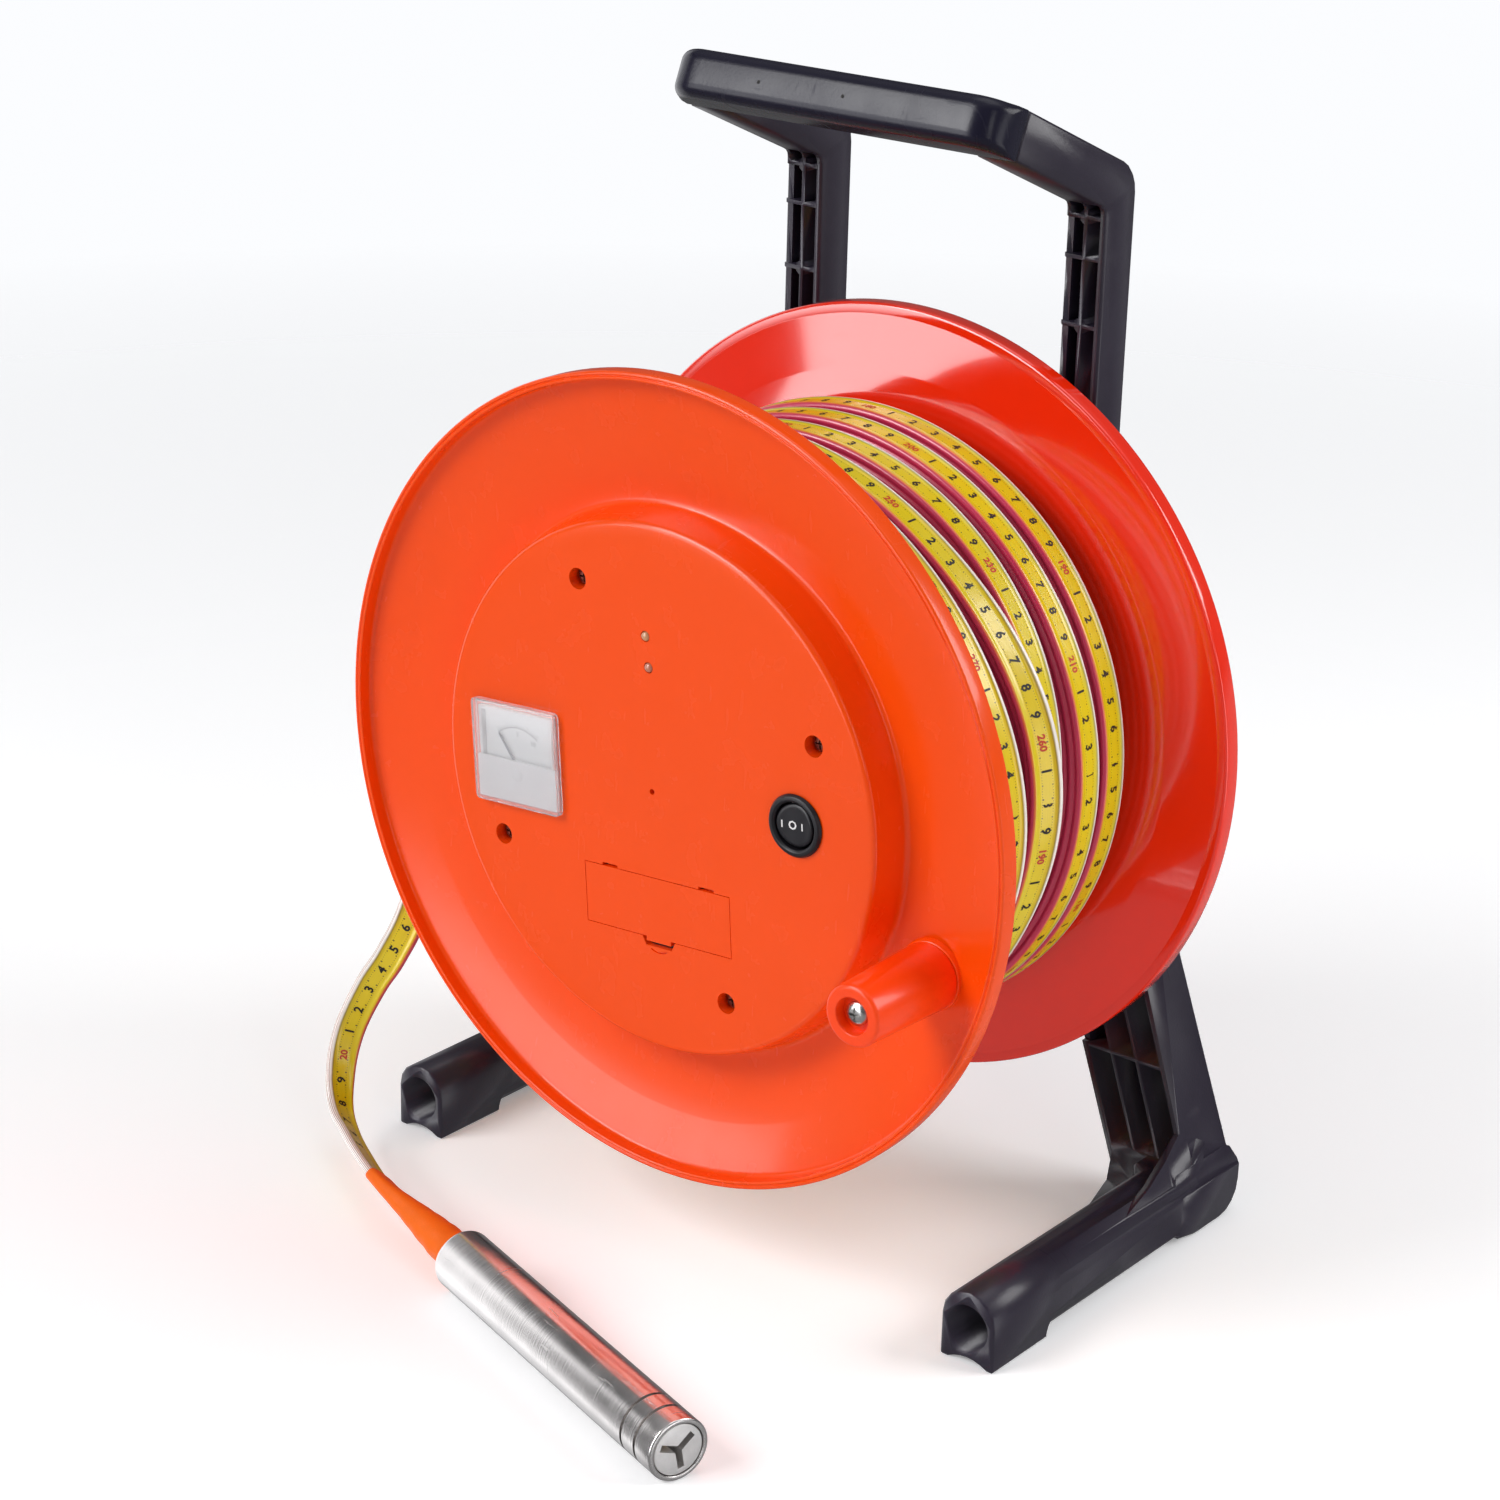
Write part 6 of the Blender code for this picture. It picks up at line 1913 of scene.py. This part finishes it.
@dataclass
class Probe:
    """The steel probe on the floor and its sleeve.

    Attributes:
        start: x and distance in front of the rim of its back end.
        end: the same for its tip.
        radius: radius of the tube.
        wall: the tube's wall.
        slots: distances of the ring slots from the tip.
        slot: width of a slot.
        sleeve_root: radius of the sleeve at the probe.
        sleeve_flat: half its width and half its thickness at its tip.
    """

    start: tuple[float, float] = (-36.7 * MM, 61.2 * MM)
    end: tuple[float, float] = (103.7 * MM, 106.0 * MM)
    radius: float = 11.5 * MM
    wall: float = 1.8 * MM
    slots: tuple[float, float] = (9.0 * MM, 17.5 * MM)
    slot: float = 1.3 * MM
    sleeve_root: float = 7.4 * MM
    sleeve_flat: tuple[float, float] = (7.0 * MM, 2.7 * MM)

    def axes(self) -> tuple[Array, Array, Array, Array, float]:
        """Works out the probe's own axes.

        Returns:
            The back end, the probe's direction, the level direction across it, up, and its length.
        """
        start = STAND.world(np.array([self.start[0], self.radius - AXLE_HEIGHT, self.start[1]]))
        end = STAND.world(np.array([self.end[0], self.radius - AXLE_HEIGHT, self.end[1]]))
        run = unit(end - start)
        up = np.array([0.0, 0.0, 1.0])
        return start, run, np.cross(up, run), up, float(np.linalg.norm(end - start))

    def bar(self, name: str, profile: Array, sides: int = 96, ring: bool = False) -> bpy.types.Object:
        """Turns a profile round the probe's line: start + run z + radius (cos t across + sin t up).

        Args:
            name: the object's name.
            profile: (n, 2) radii and distances from the back end.
            sides: faces round the turn.
            ring: whether the profile closes on itself, instead of ending on the line.

        Returns:
            The new object.
        """
        start, run, across, up, _ = self.axes()
        radius, level = np.asarray(profile).T
        t = np.linspace(0, 2 * pi, sides + 1)
        grid = (
            start
            + run * level[:, None, None]
            + across * (radius[:, None] * np.cos(t))[..., None]
            + up * (radius[:, None] * np.sin(t))[..., None]
        )
        path = np.concatenate([[0], np.cumsum(np.linalg.norm(np.diff(profile, axis=0), axis=1))])
        rows = np.append(path, path[-1] + 1 * MM) if ring else path
        uv = np.stack(np.broadcast_arrays(t[None, :] * self.radius, rows[:, None]), axis=-1)
        return lay(name, grid[:, :-1], uv, wrap_rows=ring, wrap_columns=True)

    def block(
        self,
        low: float,
        high: float,
        across: tuple[float, float],
        up: tuple[float, float],
        spin: float = 0.0,
    ) -> bpy.types.Object:
        """Makes a cutter: a box between two places on the probe's line, turned about that line.

        Args:
            low: distance of its first end from the probe's back end.
            high: distance of its second end.
            across: where its two sides are.
            up: where its lower and upper faces are.
            spin: how far it is turned.

        Returns:
            The cutter.
        """
        start, run, side, lift, _ = self.axes()
        c, s = cos(spin), sin(spin)
        side, lift = side * c + lift * s, lift * c - side * s
        outline = np.array([(across[0], up[0]), (across[1], up[0]), (across[1], up[1]), (across[0], up[1])])
        ends = np.array([low, high])
        grid = start + run * ends[:, None, None] + side * outline[None, :, :1] + lift * outline[None, :, 1:]
        return lay("cutter", grid, wrap_columns=True, capped=True)

    def sleeve(self) -> bpy.types.Object:
        """Lofts the sleeve: an oval at each share of its length, round at the probe and flat at the tape.

        The oval is a cos(t)^q across and b sin(t)^q over, each with its sign kept. The power q falls from 1
        at the probe to 0.58 at the tape. The ovals' centres are the tape's own, from its end backwards.

        Returns:
            The sleeve.
        """
        start, run, _, _, _ = self.axes()
        root = start - run * GAP
        tape = FreeTape().run()
        back = unit(tape.centre[-60] - tape.centre[-48])
        count = 25
        share = np.linspace(0, 1, count)[:, None]
        ease = share**2 * (3 - 2 * share)
        along = unit(-run * (1 - share) + back * share)
        wide = np.array(FreeTape().facing[-1][1])
        wide = unit(wide - (along * wide).sum(axis=1, keepdims=True) * along)
        thin = np.cross(along, wide)
        swell = 1 + 0.03 * np.sin(share * 40) * (1 - share)
        half_wide = (self.sleeve_root + (self.sleeve_flat[0] - self.sleeve_root) * ease) * swell
        half_thin = (self.sleeve_root + (self.sleeve_flat[1] - self.sleeve_root) * ease) * swell
        t = np.linspace(0, 2 * pi, 48, endpoint=False)
        power = 1 - 0.42 * ease
        across = half_wide * np.sign(np.cos(t)) * np.abs(np.cos(t)) ** power
        over = half_thin * np.sign(np.sin(t)) * np.abs(np.sin(t)) ** power
        centre = tape.centre[-1 - 2 * np.arange(count)]
        centre[0] = root
        grid = centre[:, None] + wide[:, None] * across[..., None] + thin[:, None] * over[..., None]
        return lay("probe_sleeve_rubber", grid, wrap_columns=True, capped=True, sharp=60)

    def build(self, frame: dict) -> list:
        """Builds the probe.

        Args:
            frame: the loaded frame.

        Returns:
            The pieces that hang on the tape's end.
        """
        length = self.axes()[-1]
        inside = self.radius - self.wall
        corners = [
            (0, 0),
            (self.radius, 0),
            (self.radius, length),
            (inside, length),
            (inside, 6 * MM),
            (0, 6 * MM),
        ]
        profile = soften(corners, [0, 1.6 * MM, 0.7 * MM, 0.3 * MM, 0, 0], 6)
        tube = self.bar("probe_body", profile)
        reach = 3 * self.radius
        wide, high, turned = (-reach, reach), (0.1 * self.radius, reach), radians(50)
        carve(tube, [self.block(length - s - self.slot, length - s, wide, high, turned) for s in self.slots])
        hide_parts("probe_tube")
        dress(tube, PROBE_STEEL, "stand")
        fit = inside - GAP
        corners = [(0, length - 24 * MM), (fit, length - 24 * MM), (fit, length - GAP), (0, length - GAP)]
        plug = self.bar("probe_end_plug", soften(corners, [0, 0, 0.4 * MM, 0], 4))
        spins = [radians(-50 + 120 * k) for k in range(3)]
        wide, high = (-1.3 * MM, 1.3 * MM), (-1.1 * MM, 7.2 * MM)
        carve(plug, [self.block(length - 12 * MM, length + 5 * MM, wide, high, spin) for spin in spins])
        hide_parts("probe_tip")
        dress(plug, PLUG_STEEL, "stand")
        sleeve = self.sleeve()
        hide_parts("probe_sleeve")
        dress(sleeve, SLEEVE, "stand")
        dress_node(frame, INSULATOR, "probe_insulator")
        dress_node(frame, BRONZE, "probe_electrode")
        return [tube, plug, sleeve, "probe_insulator", "probe_electrode"]


# Studio


def stood(right: Array, up: Array, back: Array, place: Array) -> Matrix:
    """Gives the matrix of a camera or lamp that stands at a place and looks away from back."""
    return Matrix([*([right[i], up[i], back[i], place[i]] for i in range(3)), [0, 0, 0, 1]])


@dataclass(frozen=True)
class PhotoCamera:
    """The camera, fitted to the photo.

    Attributes:
        azimuth: degrees to the right of the front.
        elevation: degrees above the horizon.
        roll: degrees of tilt.
        focal: focal length in pixels of an image this many pixels wide.
        image: the image's width and height.
        place: where it stands, in the stand's axes with depth behind the rim.
    """

    azimuth: float = 38.5447
    elevation: float = 21.1412
    roll: float = 1.4515
    focal: float = 3471.34
    image: float = 1500.0
    place: tuple[float, float, float] = (727.85 * MM, 861.25 * MM, 451.90 * MM)

    def build(self) -> None:
        """Adds the camera and makes it the scene's own."""
        a, e, roll = radians(self.azimuth), radians(self.elevation), radians(self.roll)
        back = np.array([sin(a) * cos(e), -cos(a) * cos(e), sin(e)])
        right = np.array([cos(a), sin(a), 0.0])
        up = np.cross(back, right)
        right, up = cos(roll) * right + sin(roll) * up, cos(roll) * up - sin(roll) * right
        data = bpy.data.cameras.new("photo_camera")
        data.sensor_width = 36.0
        data.lens = self.focal * data.sensor_width / self.image
        data.clip_end = 20.0
        camera = bpy.data.objects.new("photo_camera", data)
        x, front, height = self.place
        place = STAND.world(np.array([x, height, front]))
        camera.matrix_world = stood(right, up, back, place)
        bpy.context.scene.collection.objects.link(camera)
        bpy.context.scene.camera = camera


@dataclass(frozen=True)
class Softbox:
    """A rectangular studio lamp.

    Attributes:
        name: the lamp's name.
        place: where it hangs.
        aim: what it looks at.
        size: width and height.
        power: watts.
    """

    name: str
    place: tuple[float, float, float]
    aim: tuple[float, float, float]
    size: tuple[float, float]
    power: float

    def build(self) -> None:
        """Adds the lamp."""
        data = bpy.data.lights.new(self.name, "AREA")
        data.shape = "RECTANGLE"
        data.size, data.size_y = self.size
        data.energy = self.power
        lamp = bpy.data.objects.new(self.name, data)
        back = unit(np.array(self.place) - np.array(self.aim))
        right = unit(np.cross([0.0, 0.0, 1.0], back))
        up = np.cross(back, right)
        lamp.matrix_world = stood(right, up, back, self.place)
        lamp.visible_camera = False
        bpy.context.scene.collection.objects.link(lamp)


@dataclass
class Studio:
    """The floor, the lamps and the pale surround.

    Attributes:
        lamps: the softboxes.
        ambient: strength of the surround's own light.
        floor: half the floor's width.
    """

    lamps: tuple[Softbox, ...] = (
        Softbox("key", (-0.9, -1.6, 1.5), (0.0, 0.0, 0.2), (1.2, 1.0), 31.0),
        Softbox("fill", (1.7, -1.0, 0.9), (0.0, 0.0, 0.2), (0.35, 0.9), 2.5),
        Softbox("rim", (1.2, 0.75, 1.0), (0.0, 0.0, 0.2), (0.9, 0.8), 14.0),
        Softbox("top", (0.1, 0.3, 2.0), (0.0, 0.0, 0.2), (1.4, 1.0), 5.0),
    )
    ambient: float = 0.24
    floor: float = 3.0

    def mirrored(self, hand: Sockets) -> bpy.types.NodeSocket:
        """Gives the surround's strength as a gloss sees it, by the direction's azimuth u and height z.

        A white wall stands in front, from the left edge at -43.5 degrees to the middle. A window is at the
        right and a pale screen at the left. The floor is dim and the ceiling grey. Each is a product of
        clamped ramps.

        Args:
            hand: the hand for the world's nodes.

        Returns:
            The strength.
        """
        split = hand.node("ShaderNodeSeparateXYZ")
        hand.feed(split, Vector=hand.node("ShaderNodeTexCoord").outputs["Generated"])
        x, y, z = split.outputs
        u = hand.math("ARCTAN2", x, hand.math("MULTIPLY", y, -1.0))
        lit = hand.remap(u, -0.768, -0.752, 0.0, 1.0)
        wall = hand.product(
            lit,
            hand.remap(u, -0.30, 0.0, 1.0, 0.0),
            hand.remap(z, -0.24, -0.13, 0.0, 1.0),
            hand.remap(z, 0.45, 0.65, 5.2, 0.0),
        )
        window = hand.product(
            hand.remap(u, 1.38, 1.46, 0.0, 1.0),
            hand.remap(u, 1.82, 1.74, 0.0, 2.4),
            hand.remap(z, -0.5, -0.4, 0.0, 1.0),
            hand.remap(z, 0.25, 0.15, 0.0, 1.0),
        )
        side = hand.product(
            hand.remap(u, -1.15, -1.3, 0.0, 1.0),
            hand.remap(u, -2.3, -2.0, 0.0, 1.0),
            hand.remap(z, -0.8, -0.5, 0.0, 1.5),
            hand.remap(z, 0.55, 0.35, 0.0, 1.0),
        )
        floor = hand.product(hand.remap(z, 0.0, -0.1, 0.0, 0.22), hand.math("MAXIMUM", lit, 0.4))
        ceiling = hand.math("ADD", hand.remap(z, 0.6, 0.9, 0.0, 0.5), 0.10)
        wall = hand.math("MAXIMUM", wall, hand.math("MAXIMUM", floor, window))
        return hand.math("ADD", wall, hand.math("ADD", ceiling, side))

    def world(self) -> None:
        """Makes the surround: white to the camera, softer as a lamp, and the studio's walls to a gloss."""
        world = bpy.data.worlds.new("studio")
        bpy.context.scene.world = world
        world.use_nodes = True
        hand = Sockets(world.node_tree)
        path = hand.node("ShaderNodeLightPath").outputs
        seen = hand.math("MAXIMUM", path["Is Camera Ray"], path["Is Transmission Ray"])
        strength = hand.remap(seen, 0.0, 1.0, self.ambient, 1.0)
        gloss = hand.math("SUBTRACT", path["Is Glossy Ray"], seen, clamp=True)
        share = hand.math("SUBTRACT", 1.0, gloss)
        strength = hand.math("MULTIPLY", strength, share)
        strength = hand.math("MULTIPLY_ADD", gloss, self.mirrored(hand), strength)
        surround = hand.node("ShaderNodeBackground")
        hand.feed(surround, Color=(0.97, 0.98, 1.0, 1.0), Strength=strength)
        hand.feed(hand.node("ShaderNodeOutputWorld"), Surface=surround.outputs[0])

    def ground(self) -> None:
        """Lays the floor, a disc that fades into the surround towards its edge."""
        t = np.linspace(0, 2 * pi, 96, endpoint=False)
        share = np.linspace(0, 1, 12)[:, None]
        radius = self.floor * share
        grid = np.stack([radius * np.cos(t), radius * np.sin(t), 0 * radius * t], axis=-1)
        ground = lay("studio_floor", grid, wrap_columns=True)
        material = bpy.data.materials.new("studio_floor")
        material.use_nodes = True
        hand = Sockets(material.node_tree)
        where = hand.node("ShaderNodeTexCoord").outputs["Object"]
        distance = hand.node("ShaderNodeVectorMath", operation="LENGTH")
        hand.feed(distance, _0=where)
        fade = hand.remap(distance.outputs["Value"], 0.5, 1.6, 1.0, 0.0)
        paper = hand.node("ShaderNodeBsdfPrincipled")
        hand.feed(paper, Base_Color=(0.92, 0.92, 0.93, 1.0), Roughness=0.7, Alpha=fade)
        hand.feed(paper, Emission_Color=(1.0, 1.0, 1.0, 1.0), Emission_Strength=0.25)
        hand.feed(hand.node("ShaderNodeOutputMaterial"), Surface=paper.outputs[0])
        ground.data.materials.append(material)
        ground.visible_glossy = False

    def build(self) -> None:
        """Builds the studio."""
        self.world()
        self.ground()
        for lamp in self.lamps:
            lamp.build()
        bpy.context.scene.view_settings.view_transform = "Standard"


def main() -> None:
    """Builds the looks round the frame, camera and tape first; each new piece's face count is logged."""
    logging.basicConfig(level=logging.INFO, format="%(name)s: %(message)s")
    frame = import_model()
    PhotoCamera().build()
    probe = Probe().build(frame)
    FreeTape().build(probe)
    WoundTape().build()
    InstrumentFace().build(frame)
    CarryingStand().build(frame)
    Studio().build()


if __name__ == "__main__":
    main()
